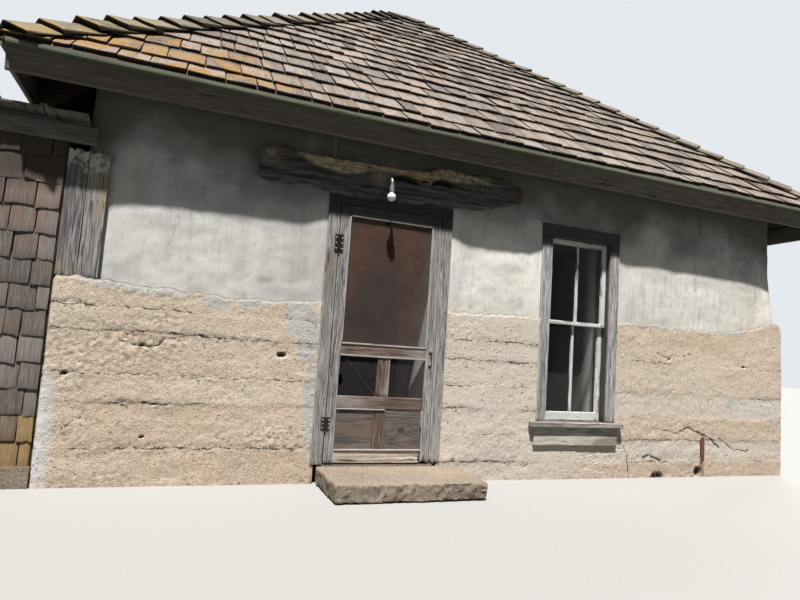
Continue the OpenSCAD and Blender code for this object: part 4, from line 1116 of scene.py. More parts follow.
LIFTED = (0.03, 0.006, 0.012, 0.012)
caps = []
for number, side in enumerate(SIDES):
    for hand, hip in ((-1, number), (1, (number + 1) % 4)):
        caps.append(cap_run(side, hand, 400 + hip * 10, LIFTED[hip]))
cap_wood = shake_finish("hip_caps", (0.235, 0.207, 0.165), (0.1, 0.088, 0.068), (0.235, 0.19, 0.14), 0.8,
                        (0.26, 0.195, 0.095))
make_piece("hip_cap_shakes", join(caps), cap_wood, stands_for=("hip_caps",), crease=50)

# %% [markdown]
# ## The wing
# Its walls are sawn shingles nailed in level courses. The same small grid as for the shakes is used, thinner, and
# stood upright. The two lowest courses are newer and still ochre. Over the front runs a plain beam, and the flat
# roof is boards with battens over their joints, laid on poles and falling to the back.

# %% Wing shingles
WING_ROWS = (0.132, 0.294, 0.465, 0.63, 0.796, 0.969, 1.143, 1.305, 1.474, 1.644, 1.821, 1.996, 2.168)
WING_FALL = math.tan(math.radians(6))


def on_wing(side, a, s, h):
    """A place on a wing wall: a along it, s up it, h out of it."""
    return {"front": xyz(a, -3.6305 - h, s), "left": xyz(-6.3405 - h, -a, s), "back": xyz(-a, -0.0295 + h, s)}[side]


def wing_wall(side, left, right_, seed, top=None):
    """Courses between two ends, cut at the top, or where they reach the roof's underside."""
    rng = np.random.default_rng(seed)
    rows = []
    for k, (s, above) in enumerate(zip(WING_ROWS, WING_ROWS[1:] + (2.41,))):
        start = left - (0 if side == "left" else rng.uniform(0, 0.1))
        a0, a1 = split_widths(start, right_, rng, 0.09, 0.235, 0.005)
        n = len(a0)
        rows.append((np.maximum(a0, left), a1, s + rng.normal(0, 0.0035, n), np.full(n, above - s + 0.03),
                     rng.uniform(0.01, 0.014, n), np.full(n, float(k < 2))))
    *shingles, ochre = [np.concatenate(column) for column in zip(*rows)]
    lift = 0.003 * (rng.random(len(ochre)) < 0.08)
    A, S, H, marks = lay_shakes(*shingles, 0.0042, seed + 3, lift, wild=0.8)
    points = on_wing(side, A, S, np.maximum(H, 0.0004))
    limit = 2.4 - WING_FALL * (points[..., 1] + 3.63) - 0.004 if top is None else 0 * A + top
    keep = S[:, :TOP_POINTS].min(1) < limit.min(1) - (0.03 if top is None else 0.02)
    points[..., 2] = np.minimum(points[..., 2], limit)
    marks["ochre"] = ochre[:, None] * ease(marks["tone"], -1.3, 0.4)
    return kept_shakes(points, marks, keep)


def shingle_finish():
    """Grey-brown cedar, each shingle its own shade, redder where it is sheltered, ochre where it is new; heads in the
    gaps, butts and the top courses darkened as painted shade.
    """
    material, shader = start_finish("wing_shingles")
    z = parts_of(place())[2]
    grain = use(grain_group, {"Place": mark("grain", True), "Fibre": 80.0, "Checks": 0.35})
    shade = spread(times_plus(mark("tone"), 0.1, grain["Fibres"]), 0.33, 0.68)
    colour = layered(
        mixed(shade, (0.085, 0.07, 0.062), (0.25, 0.22, 0.205)),
        (spread(mark("rough"), 0.5, 1.0), 0.45, (0.17, 0.12, 0.095)),
        (spread(z, 1.5, 1.75), times(spread(grain["Bands"], 0.4, 0.6), 0.6), (0.2, 0.125, 0.085)),
        (mark("ochre"), 0.9, mixed(shade, (0.17, 0.11, 0.05), (0.34, 0.225, 0.1))),
        # Painted shade: the heads seen in the gaps, the top courses under the beam's shadow, and the butts are
        # darkened.
        (spread(mark("up"), 0.8, 0.97), 0.75, (0.03, 0.025, 0.022)),
        (grain["Checks"], 0.5, (0.04, 0.03, 0.025)),
        (spread(z, 1.9, 2.05), 0.85, (0.035, 0.028, 0.024)),
        (spread(mark("butt"), 0.2, 0.6), 1, (0.025, 0.02, 0.017)),
    )
    surface(shader, colour, 0.82, 0.3)
    bumped(shader, grain["Height"], 0.9, 0.0016)
    return material


walls = [wing_wall("front", -6.343, -3.446, 610, 2.288), wing_wall("left", 0.025, 3.632, 620),
         wing_wall("back", 3.45, 6.343, 630)]
make_piece("wing_shingles", join(walls), shingle_finish(), crease=50)

# %% Wing roof and beam
def tilted(low, high, along, seed, **shape):
    """A board sheared so that it falls to the back as the wing's roof does."""
    points, faces, marks = board(low, high, along, seed, step=0.12, **shape)
    points[:, 2] -= WING_FALL * (points[:, 1] + 3.75)
    return points, faces, marks


WING_TOP = 2.412
edges = np.linspace(-6.489, -3.324, 13)
roof_parts = [tilted((a + 0.003, -3.746, WING_TOP + 0.036), (b - 0.003, 0.088, WING_TOP + 0.0575), "y", 700 + k,
                     across=0.03, rough=0.001, wander=0.001) for k, (a, b) in enumerate(zip(edges, edges[1:]))]
roof_parts += [tilted((a - 0.022, -3.748, WING_TOP + 0.059), (a + 0.022, 0.086, WING_TOP + 0.071), "y", 730 + k,
                      across=0.02, rough=0.0006, wander=0.001) for k, a in enumerate(edges[1:-1])]
roof_parts += [tilted((-6.486, y, WING_TOP), (-3.33, y + 0.06, WING_TOP + 0.0365), "x", 750 + k, across=0.02)
               for k, y in enumerate((-3.63, -2.745, -1.86, -0.975, -0.09))]
silver_wood = wood_finish("silver_boards", (0.24, 0.23, 0.21), (0.09, 0.08, 0.07), checks=0.8,
                          lichen=(0.3, 0.31, 0.25))
make_piece("wing_roof_boards", join(roof_parts), silver_wood, stands_for=("wing_roof",))
beam_wood = wood_finish("beam_wood", (0.21, 0.2, 0.18), (0.085, 0.078, 0.068), checks=0.6)
beam = board((-6.49, -3.68, 2.2852), (-3.27, -3.6305, 2.3998), "x", 760, across=0.01, rough=0.0012)
make_piece("wing_beam_board", beam, beam_wood, stands_for=("wing_beam",))

# %% Corner planks
planks = join(wall_boards(-3.6262, -3.5965, [
    ("z", -3.4395, -3.3105, 1.386, 2.259), ("z", -3.3095, -3.181, 1.386, 2.255),
], 771, across=0.0055, rough=0.0012, ragged=(0, 0.02)))
planks[2]["lichen"] = ease(planks[0][:, 2], 1.95, 2.22) + 0.05
plank_wood = wood_finish("plank_wood", (0.49, 0.48, 0.47), (0.125, 0.12, 0.12), fibre=75.0, checks=0.95, contrast=0.6,
                         tint=(0.34, 0.25, 0.155, 0.25), lichen=(0.62, 0.63, 0.56), lichen_amount=0.75, relief=0.003)
make_piece("corner_plank_boards", planks, plank_wood, stands_for=("corner_planks",))

# %% [markdown]
# ## Eave boards
# A plain board closes the rafter ends all round, with a thin greenish strip nailed along its top. In real life
# each side is two boards that meet over a rafter.

# %% Eave boards
EAVE = 3.888
eave_parts, strip_parts = [], []
for number, (axis, sign) in enumerate((("x", -1), ("y", 1), ("x", 1), ("y", -1))):
    a = "xy".index(axis)
    middle = (ROOF_X, 0.0)
    joint = (0.263, -0.3)[a]
    past = (0.0, 0.028)[a]
    step, across = (0.03, 0.012) if number == 0 else (0.08, 0.03)
    for half in (0, 1):
        ends = ((middle[a] - EAVE + past, joint - 0.001), (joint + 0.001, middle[a] + EAVE - past))[half]
        for parts, outer, inner, z0, z1, shape in (
            (eave_parts, 0.0, -0.0275, 2.611, 2.7995, dict(step=step, across=across, rough=0.0012)),
            (strip_parts, 0.0415, -0.002, 2.7645, 2.79,
             dict(step=0.05 if number == 0 else 0.1, across=0.012, rough=0.0006, soft=0.002)),
        ):
            sides = sorted(middle[1 - a] + sign * (EAVE + out) for out in (outer, inner))
            low, high = ([end, side] if a == 0 else [side, end] for end, side in zip(ends, sides))
            seed = 800 + number * 10 + half + (5 if parts is strip_parts else 0)
            parts.append(board(low + [z0], high + [z1], axis, seed, wander=0.0, **shape))
        points = eave_parts[-1][0]
        points[:, 1 - a] -= sign * 0.022 * (2.7995 - points[:, 2]) / 0.19
eave_wood = wood_finish("eave_wood", (0.25, 0.225, 0.19), (0.12, 0.105, 0.088), fibre=60.0)
strip_wood = wood_finish("strip_wood", (0.19, 0.2, 0.15), (0.09, 0.1, 0.07), fibre=60.0, checks=0.4)
make_piece("eave_board_ring", join(eave_parts), eave_wood,
           stands_for=("eave_boards_front_back", "eave_boards_sides"))
make_piece("eave_top_strip", join(strip_parts), strip_wood)

# %% [markdown]
# ## The doorway
# Behind the casing the opening is lined with boards right through the thick wall. They are pale, and on the right one a
# paler wedge of painted light is laid where the sun through the wire cloth falls.

# %% Doorway lining
def over_base(material, share, over):
    """Goes back to a finished material and lays one more colour over its base colour."""
    base = work_on(material).inputs["Base Color"]
    link(mixed(share, base.links[0].from_socket, over), base)


lining_wood = wood_finish("lining_wood", (0.27, 0.25, 0.23), (0.14, 0.13, 0.115), fibre=60.0, checks=0.4)
work_on(lining_wood)
x, y, z = parts_of(place())
# Painted light: a pale wedge on the right jamb, between two sloping lines, stands in for the sunlight through the wire
# cloth.
light_line = times_plus(y, 0.93, plus(z, 3.634 * 0.93))
lit = times(times(spread(light_line, 2.07, 2.05), spread(light_line, 1.14, 1.17)),
            times(spread(x, -0.7, -0.66), spread(x, 0.0, -0.1)))
over_base(lining_wood, lit, (0.86, 0.84, 0.82))
lining_parts = wall_boards(-3.6335, -2.783, [
    ("z", -1.5628, -1.5305, 0.1405, 2.159), ("z", -0.6555, -0.6235, 0.1405, 2.159),
    ("x", -1.5628, -0.6235, 2.1612, 2.19),
], 901, step=0.06, across=0.03, wander=0)
make_piece("door_lining_boards", join(lining_parts), lining_wood, stands_for=("door_lining",))

# %% [markdown]
# ## The screen door
# Two stiles run the full height and four rails stand between them. The lower ones have gone red-brown, the bottom
# rail is bleached. Thin mouldings that once held the cloth are left along some edges, nearly white.

# %% Screen door: stiles, rails and mouldings
X0, X1, X2, X3, MID = -1.527, -1.451, -0.735, -0.659, -1.093
FRONT_Y, REAR_Y = -3.6578, -3.6305


def door_bars(rows, seed, **shape):
    """Boards of the door: a row is an axis, x0, x1, z0, z1, and how far the face lies behind the stiles' face."""
    return join([board((x0, FRONT_Y + inset, z0), (x1, REAR_Y - inset * 0.5, z1), axis, seed + k,
                       **{**dict(across=0.007, rough=0.0009, wander=0.0), **shape})
                 for k, (axis, x0, x1, z0, z1, inset) in enumerate(rows)])


WITHIN = (X1 + 0.0003, X2 - 0.0003)
stiles = join([door_bars([("z", X0, X1, 0.1505, 2.1545, 0.0)], 911),
               door_bars([("z", X2, X3, 0.1505, 2.1545, 0.0)], 912, ragged=(0.05, 0), rough=0.0013)])
rails = door_bars([
    ("x", *WITHIN, 0.5665, 0.6625, 0.002), ("x", *WITHIN, 0.9775, 1.0645, 0.002),
    ("z", MID - 0.05, MID + 0.05, 0.2455, 0.5655, 0.0035), ("z", MID - 0.05, MID + 0.05, 0.6635, 0.9765, 0.0025),
], 921)
top_rail = door_bars([("x", *WITHIN, 2.0755, 2.1545, 0.002)], 925)
foot_rail = door_bars([("x", *WITHIN, 0.1505, 0.2445, 0.0015)], 926, ragged=(0, 0.03), rough=0.0014)
# Mouldings: axis, x0, x1, z0, z1 and the y of the face.
MOULDINGS = (
    ("x", X1, X2, 0.245, 0.257, -3.664), ("x", X1, MID + 0.035, 0.556, 0.5675, -3.662),
    ("x", X1, X2, 0.968, 0.981, -3.663), ("x", X1, X2, 1.06, 1.0735, -3.662),
    ("x", X1 + 0.015, X2, 2.065, 2.076, -3.662), ("z", X1 - 0.003, X1 + 0.0085, 1.074, 2.0645, -3.663),
    ("z", X2 - 0.0085, X2 + 0.003, 1.074, 2.0645, -3.661), ("z", X2 - 0.0105, X2 - 0.0005, 0.43, 0.564, -3.662),
    ("z", MID + 0.047, MID + 0.054, 0.664, 0.967, -3.658),
)
mouldings = [board((x0, y, z0), (x1, REAR_Y - 0.012, z1), axis, 940 + k, across=0.006, rough=0.0006, wander=0.0,
                   soft=0.0025) for k, (axis, x0, x1, z0, z1, y) in enumerate(MOULDINGS)]
stile_wood = wood_finish("stile_wood", (0.57, 0.56, 0.555), (0.16, 0.15, 0.15), checks=0.8, fibre=100.0,
                         tint=(0.25, 0.2, 0.17, 0.15), painted_shade_above=2.05)
rail_wood = wood_finish("rail_wood", (0.27, 0.205, 0.17), (0.085, 0.058, 0.048), checks=0.7, fibre=80.0,
                        tint=(0.3, 0.265, 0.25, 0.4))
pale_wood = wood_finish("bleached_wood", (0.78, 0.7, 0.61), (0.32, 0.275, 0.23), checks=0.8,
                        tint=(0.24, 0.18, 0.14, 0.2))
strip_paint = wood_finish("pale_moulding", (0.5, 0.48, 0.46), (0.22, 0.2, 0.185), checks=0.6, fibre=80.0,
                          tint=(0.25, 0.2, 0.17, 0.4))
for name, part, finish, slot, *nodes in (
    ("door_stiles", stiles, stile_wood, "door_wood", "screen_door_frame"),
    ("door_rails", rails, rail_wood, "door_wood"), ("door_top_rail", top_rail, stile_wood, "door_wood"),
    ("door_bottom_rail", foot_rail, pale_wood, "door_wood"),
    ("door_mouldings", join(mouldings), strip_paint, "white_paint"),
):
    make_piece(name, part, finish, "screen_door", stands_for=nodes)

# %% Screen door: wood panels
def wood_panel(x0, x1, seed, knot_at=None):
    """A thin board whose grain runs across; round the knot the rings bend, by adding to the grain's height there."""
    points, faces, marks = board((x0, -3.6495, 0.2475), (x1, -3.6385, 0.5635), "x", seed, across=0.008, rough=0.0005,
                                 wander=0.0, step=0.012)
    marks["knot"] = np.zeros(len(points))
    if knot_at is not None:
        up = points[:, 2] - knot_at[1]
        away = np.hypot(points[:, 0] - knot_at[0], up * 1.1)
        marks["knot"] = ease(away, 0.03, 0.022)
        marks["grain"][:, 1] += 0.03 * np.sign(up) * np.exp(-(away / 0.07) ** 2)
        points[:, 1] -= 0.0015 * ease(away, 0.035, 0.0)
    return points, faces, marks


panel_wood = wood_finish("panel_wood", (0.24, 0.215, 0.21), (0.085, 0.07, 0.066), fibre=80.0,
                         tint=(0.16, 0.11, 0.09, 0.25))
work_on(panel_wood)
over_base(panel_wood, mark("knot"), (0.075, 0.045, 0.038))
panels = [wood_panel(X1 + 0.001, MID - 0.0515, 951), wood_panel(MID + 0.0515, X2 - 0.001, 952, (-0.905, 0.408))]
make_piece("door_panels", join(panels), panel_wood, "screen_door", stands_for=("screen_door_panels",))

# %% [markdown]
# ## Wire cloth
# The cloth is woven wire, rusted through in one place and pulled away in another. Its wires are far thinner than
# a picture's finest detail, so the piece is a thin sealed sheet whose material lets part of the light through.
# The sheet is a grid of small cells; cells inside a tear are left out, and the rim is closed all round.

# %% Wire cloth
def wire_cloth(x0, x1, z0, z1, tear, seed):
    """Front and rear grids of the same cells; a rim quad stands wherever a kept cell has no kept neighbour."""
    cell, thick = 0.009, 0.0008
    nx, nz = int(round((x1 - x0) / cell)), int(round((z1 - z0) / cell))
    gx, gz = np.meshgrid(np.linspace(x0, x1, nx + 1), np.linspace(z0, z1, nz + 1), indexing="ij")
    belly = np.sin(np.pi * (gx - x0) / (x1 - x0)) * np.sin(np.pi * (gz - z0) / (z1 - z0))
    y = -3.6445 - 0.003 * belly + 0.0016 * belly * ripple(xyz(gx, gz, 0 * gx), 0.12, seed)
    keep = np.ones((nx, nz), bool)
    if tear:
        cx, cz = (gx[:-1, :-1] + gx[1:, 1:]) / 2, (gz[:-1, :-1] + gz[1:, 1:]) / 2
        away = np.hypot((cx - tear[0]) / tear[2], (cz - tear[1]) / tear[3])
        keep = away + 0.25 * ripple(xyz(cx, cz, 0 * cx), 0.02, seed + 4) > 1.0
    ids = np.arange((nx + 1) * (nz + 1)).reshape(nx + 1, nz + 1)
    a, b, c, d = ids[:-1, :-1], ids[1:, :-1], ids[1:, 1:], ids[:-1, 1:]
    face = xyz(a, b, c, d)[keep]
    blocks = [face, face[:, ::-1] + ids.size]
    padded = np.pad(keep, 1)
    for (dx, dz), (p, q) in (((0, -1), (a, b)), ((1, 0), (b, c)), ((0, 1), (c, d)), ((-1, 0), (d, a))):
        edge = keep & ~padded[1 + dx:nx + 1 + dx, 1 + dz:nz + 1 + dz]
        blocks.append(xyz(q[edge], p[edge], p[edge] + ids.size, q[edge] + ids.size))
    points = np.concatenate([xyz(gx, y, gz).reshape(-1, 3), xyz(gx, y + thick, gz).reshape(-1, 3)])
    used, moved = np.unique(np.concatenate(blocks), return_inverse=True)
    blocks = np.split(moved.reshape(-1, 4), np.cumsum([len(block) for block in blocks])[:-1])
    return points[used], blocks, {"age": np.full(len(used), 1.0 if z1 > 1.5 else 0.0)}


def cloth_finish():
    """Rusty wire: dull brown, oranger at the sides and top, nearly black in the middle, paler grey at its edges as
    painted light from the lit jamb behind; a third of the light passes.
    """
    material, shader = start_finish("rusty_wire_cloth")
    where = place()
    x, _, z = parts_of(where)
    rust = use(rust_group, {"Place": where, "Size": 14.0})
    off = maths("ABSOLUTE", plus(x, 1.12), 0.0)
    cloud = speckle(where, 3.5, 4.0, 0.6)
    warm = plus(spread(off, 0.12, 0.34, 0.0, 0.55), spread(z, 1.35, 2.05, 0.0, 0.65))
    warm = times(warm, spread(cloud, 0.3, 0.62), use_clamp=True)
    weave = put("TexChecker", {"Vector": where, "Scale": 620.0}).outputs[1]
    # Painted light: the cloth turns paler grey at its edges, most at the right, standing in for the sunlit jamb seen
    # through it.
    rim = times(spread(off, 0.24, 0.36), spread(plus(x, cloud), -0.75, -0.25, 0.2))
    colour = layered(
        mixed(warm, (0.105, 0.078, 0.072), mixed(0.6, rust["Colour"], (0.21, 0.105, 0.07))),
        (spread(cloud, 0.55, 0.7), 0.4, (0.12, 0.085, 0.075)), (rim, 0.6, (0.2, 0.19, 0.165)),
    )
    colour = mixed(mark("age"), (0.055, 0.05, 0.052), colour)
    cover = times_plus(cloud, 0.3, times_plus(mark("age"), 0.14, 0.06))
    surface(shader, layered(colour, (weave, 0.12, (0.02, 0.015, 0.013))), 0.8, 0.3, Metallic=0.0,
            Alpha=minus(cover, spread(x, -0.9, -0.78, 0.0, 0.12)))
    bumped(shader, weave, 0.3, 0.0003)
    return material


cloths = [
    wire_cloth(X1 + 0.0005, X2 - 0.0005, 1.0655, 2.0745, (-1.135, 2.045, 0.02, 0.026), 11),
    wire_cloth(X1 + 0.0005, MID - 0.0505, 0.6635, 0.9765, (-1.437, 0.785, 0.018, 0.043), 12),
    wire_cloth(MID + 0.0505, X2 - 0.0005, 0.6635, 0.9765, None, 13),
]
make_piece("wire_cloth", join(cloths), cloth_finish(), "screen_door",
           stands_for=("screen_door_mesh",), crease=60)

# %% [markdown]
# ## The window
# The sashes were painted white and the paint has cracked and let the grey wood through. Each sash has one bar
# down its middle. The casing, the sill and the apron are bare grey boards like the door's casing.

# %% Window casing, sill and apron
window_parts = wall_boards(*CASING_Y, [
    ("z", 0.3455, 0.449, 0.5065, 2.161), ("z", 1.105, 1.2085, 0.5065, 2.161, {"rough": 0.0013}),
    ("x", 0.3455, 1.2085, 2.1625, 2.276),
], 1001, across=0.008, rough=0.0011)
frame_wood = wood_finish("window_wood", (0.74, 0.73, 0.725), (0.2, 0.19, 0.19), fibre=95.0, checks=0.8,
                         tint=(0.26, 0.23, 0.215, 0.2), painted_shade_above=2.06)
make_piece("window_casing_boards", join(window_parts), frame_wood, stands_for=("window_casing",))
sill_wood = wood_finish("sill_wood", (0.53, 0.485, 0.455), (0.17, 0.145, 0.14), checks=0.75, fibre=60.0,
                        tint=(0.24, 0.19, 0.17, 0.2))
sill = board((0.275, -3.7045, 0.4585), (1.278, -3.6505, 0.5055), "x", 1011, across=0.008, rough=0.0013, soft=0.006,
             wander=0.001)
make_piece("window_sill_board", sill, sill_wood, stands_for=("window_sill",))
# Painted light: the apron's colours are set pale because the sill's shadow covers this board, and the pale colour
# stands in for sun on it.
apron_wood = wood_finish("apron_wood", (0.66, 0.62, 0.54), (0.26, 0.235, 0.2), checks=0.7, fibre=60.0,
                         tint=(0.22, 0.175, 0.14, 0.3))
apron = board((0.3265, -3.674, 0.2985), (1.2285, -3.6505, 0.4575), "x", 1012, across=0.008, rough=0.0012,
              wander=0.001)
make_piece("window_apron_board", apron, apron_wood, stands_for=("window_apron",))
frame_parts = wall_boards(-3.6335, -3.4445, [
    ("z", 0.4195, 0.4485, 0.5065, 2.1605), ("z", 1.1055, 1.1345, 0.5065, 2.1605),
    ("x", 0.4195, 1.1345, 2.1617, 2.1905), ("x", 0.4195, 1.1345, 0.4765, 0.5055),
], 1021, step=0.05, across=0.02, wander=0)
shaded_wood = wood_finish("shaded_wood", (0.13, 0.115, 0.1), (0.06, 0.053, 0.047), fibre=60.0, checks=0.4)
make_piece("window_lining_boards", join(frame_parts), shaded_wood, stands_for=("window_lining",))

# %% Window sashes
def paint_finish(name, paint, bare, lost):
    """White paint over wood: where a stretched noise passes a level the paint is gone and the grain shows."""
    material, shader = start_finish(name)
    where = mark("grain", True)
    grain = use(grain_group, {"Place": where, "Fibre": 80.0, "Checks": 0.7})
    flake = plus(speckle(where, 16.0, 4.0, 0.65, (0.22, 1.0, 1.0)), times(mark("edge"), 0.1))
    gone = spread(flake, 0.66 - lost * 0.2, 0.7 - lost * 0.2)
    coat = mixed(spread(speckle(where, 7.0), 0.35, 0.65), tinted(paint, 0.84), paint)
    colour = layered(coat, (gone, 1, mixed(grain["Fibres"], tinted(bare, 0.45), bare)),
                     (grain["Checks"], 0.5, (0.12, 0.11, 0.1)))
    surface(shader, colour, spread(gone, 0.0, 1.0, 0.55, 0.9), 0.35)
    bumped(shader, minus(times(grain["Height"], 0.4), gone), 0.8, 0.0012)
    return material


def sash_boards(y0, y1, z0, z1, foot, head, seed):
    """Two stiles, a top and a foot rail between them, and the middle bar, a little thinner, on both sides."""
    left, right_, bar, w = 0.4495, 1.1045, 0.777, 0.046
    a, b, c, d = left + w + 0.0003, right_ - w - 0.0003, z0 + foot - 0.002, z1 - head + 0.002
    rows = (
        ("z", left, left + w, z0, z1, y0, y1), ("z", right_ - w, right_, z0, z1, y0, y1),
        ("x", a, b, z0, z0 + foot, y0 + 0.001, y1 - 0.001), ("x", a, b, z1 - head, z1, y0 + 0.001, y1 - 0.001),
        ("z", bar - 0.013, bar + 0.013, c, d, y0 + 0.003, y0 + 0.015),
        ("z", bar - 0.01, bar + 0.01, c, d, y1 - 0.015, y1 - 0.004),
    )
    return [board((x0, ya, za), (x1, yb, zb), axis, seed + k, across=0.008, rough=0.0006, wander=0.0)
            for k, (axis, x0, x1, za, zb, ya, yb) in enumerate(rows)]


sash_paint = paint_finish("white_paint", (0.66, 0.66, 0.64), (0.3, 0.285, 0.27), 0.35)
upper = sash_boards(-3.5978, -3.5642, 1.3755, 2.1605, 0.034, 0.046, 1031)
lower = sash_boards(-3.5635, -3.5303, 0.5065, 1.4085, 0.078, 0.034, 1041)
make_piece("window_sash_boards", join(upper + lower), sash_paint, stands_for=("window_sashes",))

# %% [markdown]
# ## Glass
# Old window glass is a little wavy. It is a real pane with two faces and the glass shader. Light reaches the
# room through it because rays that only test for shadow see it as clear.

# %% Glass
glass, shader = start_finish("window_glass")
feed_node(shader, {"Base Color": (0.93, 0.96, 0.95), "Transmission Weight": 1.0, "IOR": 1.48, "Roughness": 0.02})
bumped(shader, speckle(place(), 9.0, 1.0), 0.2, 0.002)
clear = put("BsdfTransparent", {"Color": (0.9, 0.93, 0.92)})
through = put("MixShader", {0: put("LightPath").outputs["Is Shadow Ray"], 1: shader.outputs[0], 2: clear.outputs[0]})
link(through.outputs[0], WORK["tree"].nodes["Material Output"].inputs["Surface"])
print("glass made")

# %% [markdown]
# ## Worn blocks
# A stone or a cast block is a box whose edges have rounded with wear. Points are spread over the six faces of a
# lattice, shared ones are merged, edges are pulled in to a round, and everything is pushed out or in by ripples.

# %% Worn blocks: the step
def worn_block(low, high, cell, soft, push):
    """Nearest point of the inner box plus soft times the direction from it; push moves points along that direction."""
    low, high = np.array(low, float), np.array(high, float)
    lines = []
    for a, b in zip(low, high):
        inner = np.linspace(a + soft, b - soft, int((b - a - 2 * soft) / cell) + 1)
        lines.append(np.concatenate([[a, a + soft * 0.45], inner, [b - soft * 0.45, b]]))
    quads = []
    for a in range(3):
        b, c = (a + 1) % 3, (a + 2) % 3
        i, j = np.indices((len(lines[b]) - 1, len(lines[c]) - 1)).reshape(2, -1)
        for end, order in ((0, 1), (len(lines[a]) - 1, -1)):
            corners = np.full((i.size, 4, 3), end)
            for k, pair in enumerate(((0, 0), (0, 1), (1, 1), (1, 0))):
                di, dj = pair[::order]
                corners[:, k, b], corners[:, k, c] = i + di, j + dj
            quads.append(corners)
    keys, faces = np.unique(np.concatenate(quads).reshape(-1, 3), axis=0, return_inverse=True)
    points = xyz(*(lines[a][keys[:, a]] for a in range(3)))
    inner = np.clip(points, low + soft, high - soft)
    away = points - inner
    direction = away / np.maximum(np.linalg.norm(away, axis=1, keepdims=True), 1e-9)
    points = inner + direction * soft
    return points + direction * push(points, direction)[:, None], [faces.reshape(-1, 4)], {}


def step_push(p, n):
    """Hollowed where feet fall, lumpy with gravel on its front and ends, with chipped edges."""
    up = n[:, 2]
    tread = up * 0.01 * np.exp(-(((p[:, 0] + 1.05) / 0.38) ** 2 + ((p[:, 1] + 3.98) / 0.25) ** 2))
    gravel = (1 - 0.8 * np.clip(up, 0, 1)) * (0.0048 * ripple(p, 0.035, 61) + 0.0025 * ripple(p, 0.014, 62, 1))
    chips = 0.012 * ease(ripple(p, 0.09, 64), 0.35, 0.9) * (up > 0.15) * (up < 0.95)
    return gravel * 1.3 + 0.004 * ripple(p, 0.3, 63) * 0.6 - tread - chips - 0.0092


step_block = worn_block((-1.588, -4.27, 0.0), (-0.438, -3.6505, 0.14), 0.014, 0.022, step_push)
step_block[0][:, 2] = np.maximum(step_block[0][:, 2], 0.0005)
step_stone = concrete_finish("step_concrete", (0.25, 0.195, 0.145), (0.31, 0.25, 0.195), (0.17, 0.15, 0.125),
                             size=60.0, bands=False)
make_piece("door_step_block", step_block, step_stone, stands_for=("door_step",))

# %% [markdown]
# ## The slab over the door
# A slab sawn off a log keeps its natural edges. Its face is a grid between a lower and an upper outline, pushed
# out by saw ripples and two knots. Along the top a band of yellow bark stands forward, and beneath it the wood
# has rotted back into dark hollows. The face is bare.

# %% Slab
SLAB_TOP = np.array([(-2.188, 2.47), (-2.14, 2.497), (-2.014, 2.522), (-1.897, 2.492), (-1.662, 2.489), (-1.45, 2.494),
                     (-1.251, 2.499), (-1.0, 2.51), (-0.813, 2.526), (-0.725, 2.574), (-0.6, 2.572), (-0.394, 2.562),
                     (-0.15, 2.585), (-0.02, 2.55), (0.077, 2.515)])
SLAB_LOW = np.array([(-2.188, 2.262), (-2.15, 2.245), (-1.991, 2.241), (-1.86, 2.262), (-1.739, 2.268), (-1.66, 2.235),
                     (-1.601, 2.22), (-1.3, 2.222), (-1.059, 2.233), (-0.8, 2.25), (-0.566, 2.268), (-0.347, 2.278),
                     (-0.2, 2.315), (0.0, 2.372), (0.077, 2.4)])
ROTTEN = ((-1.04, 2.425, 0.13, 0.026), (-0.7, 2.445, 0.1, 0.028), (-0.86, 2.43, 0.03, 0.012))
KNOTS = ((-2.114, 2.437, 0.036), (-1.247, 2.405, 0.034))


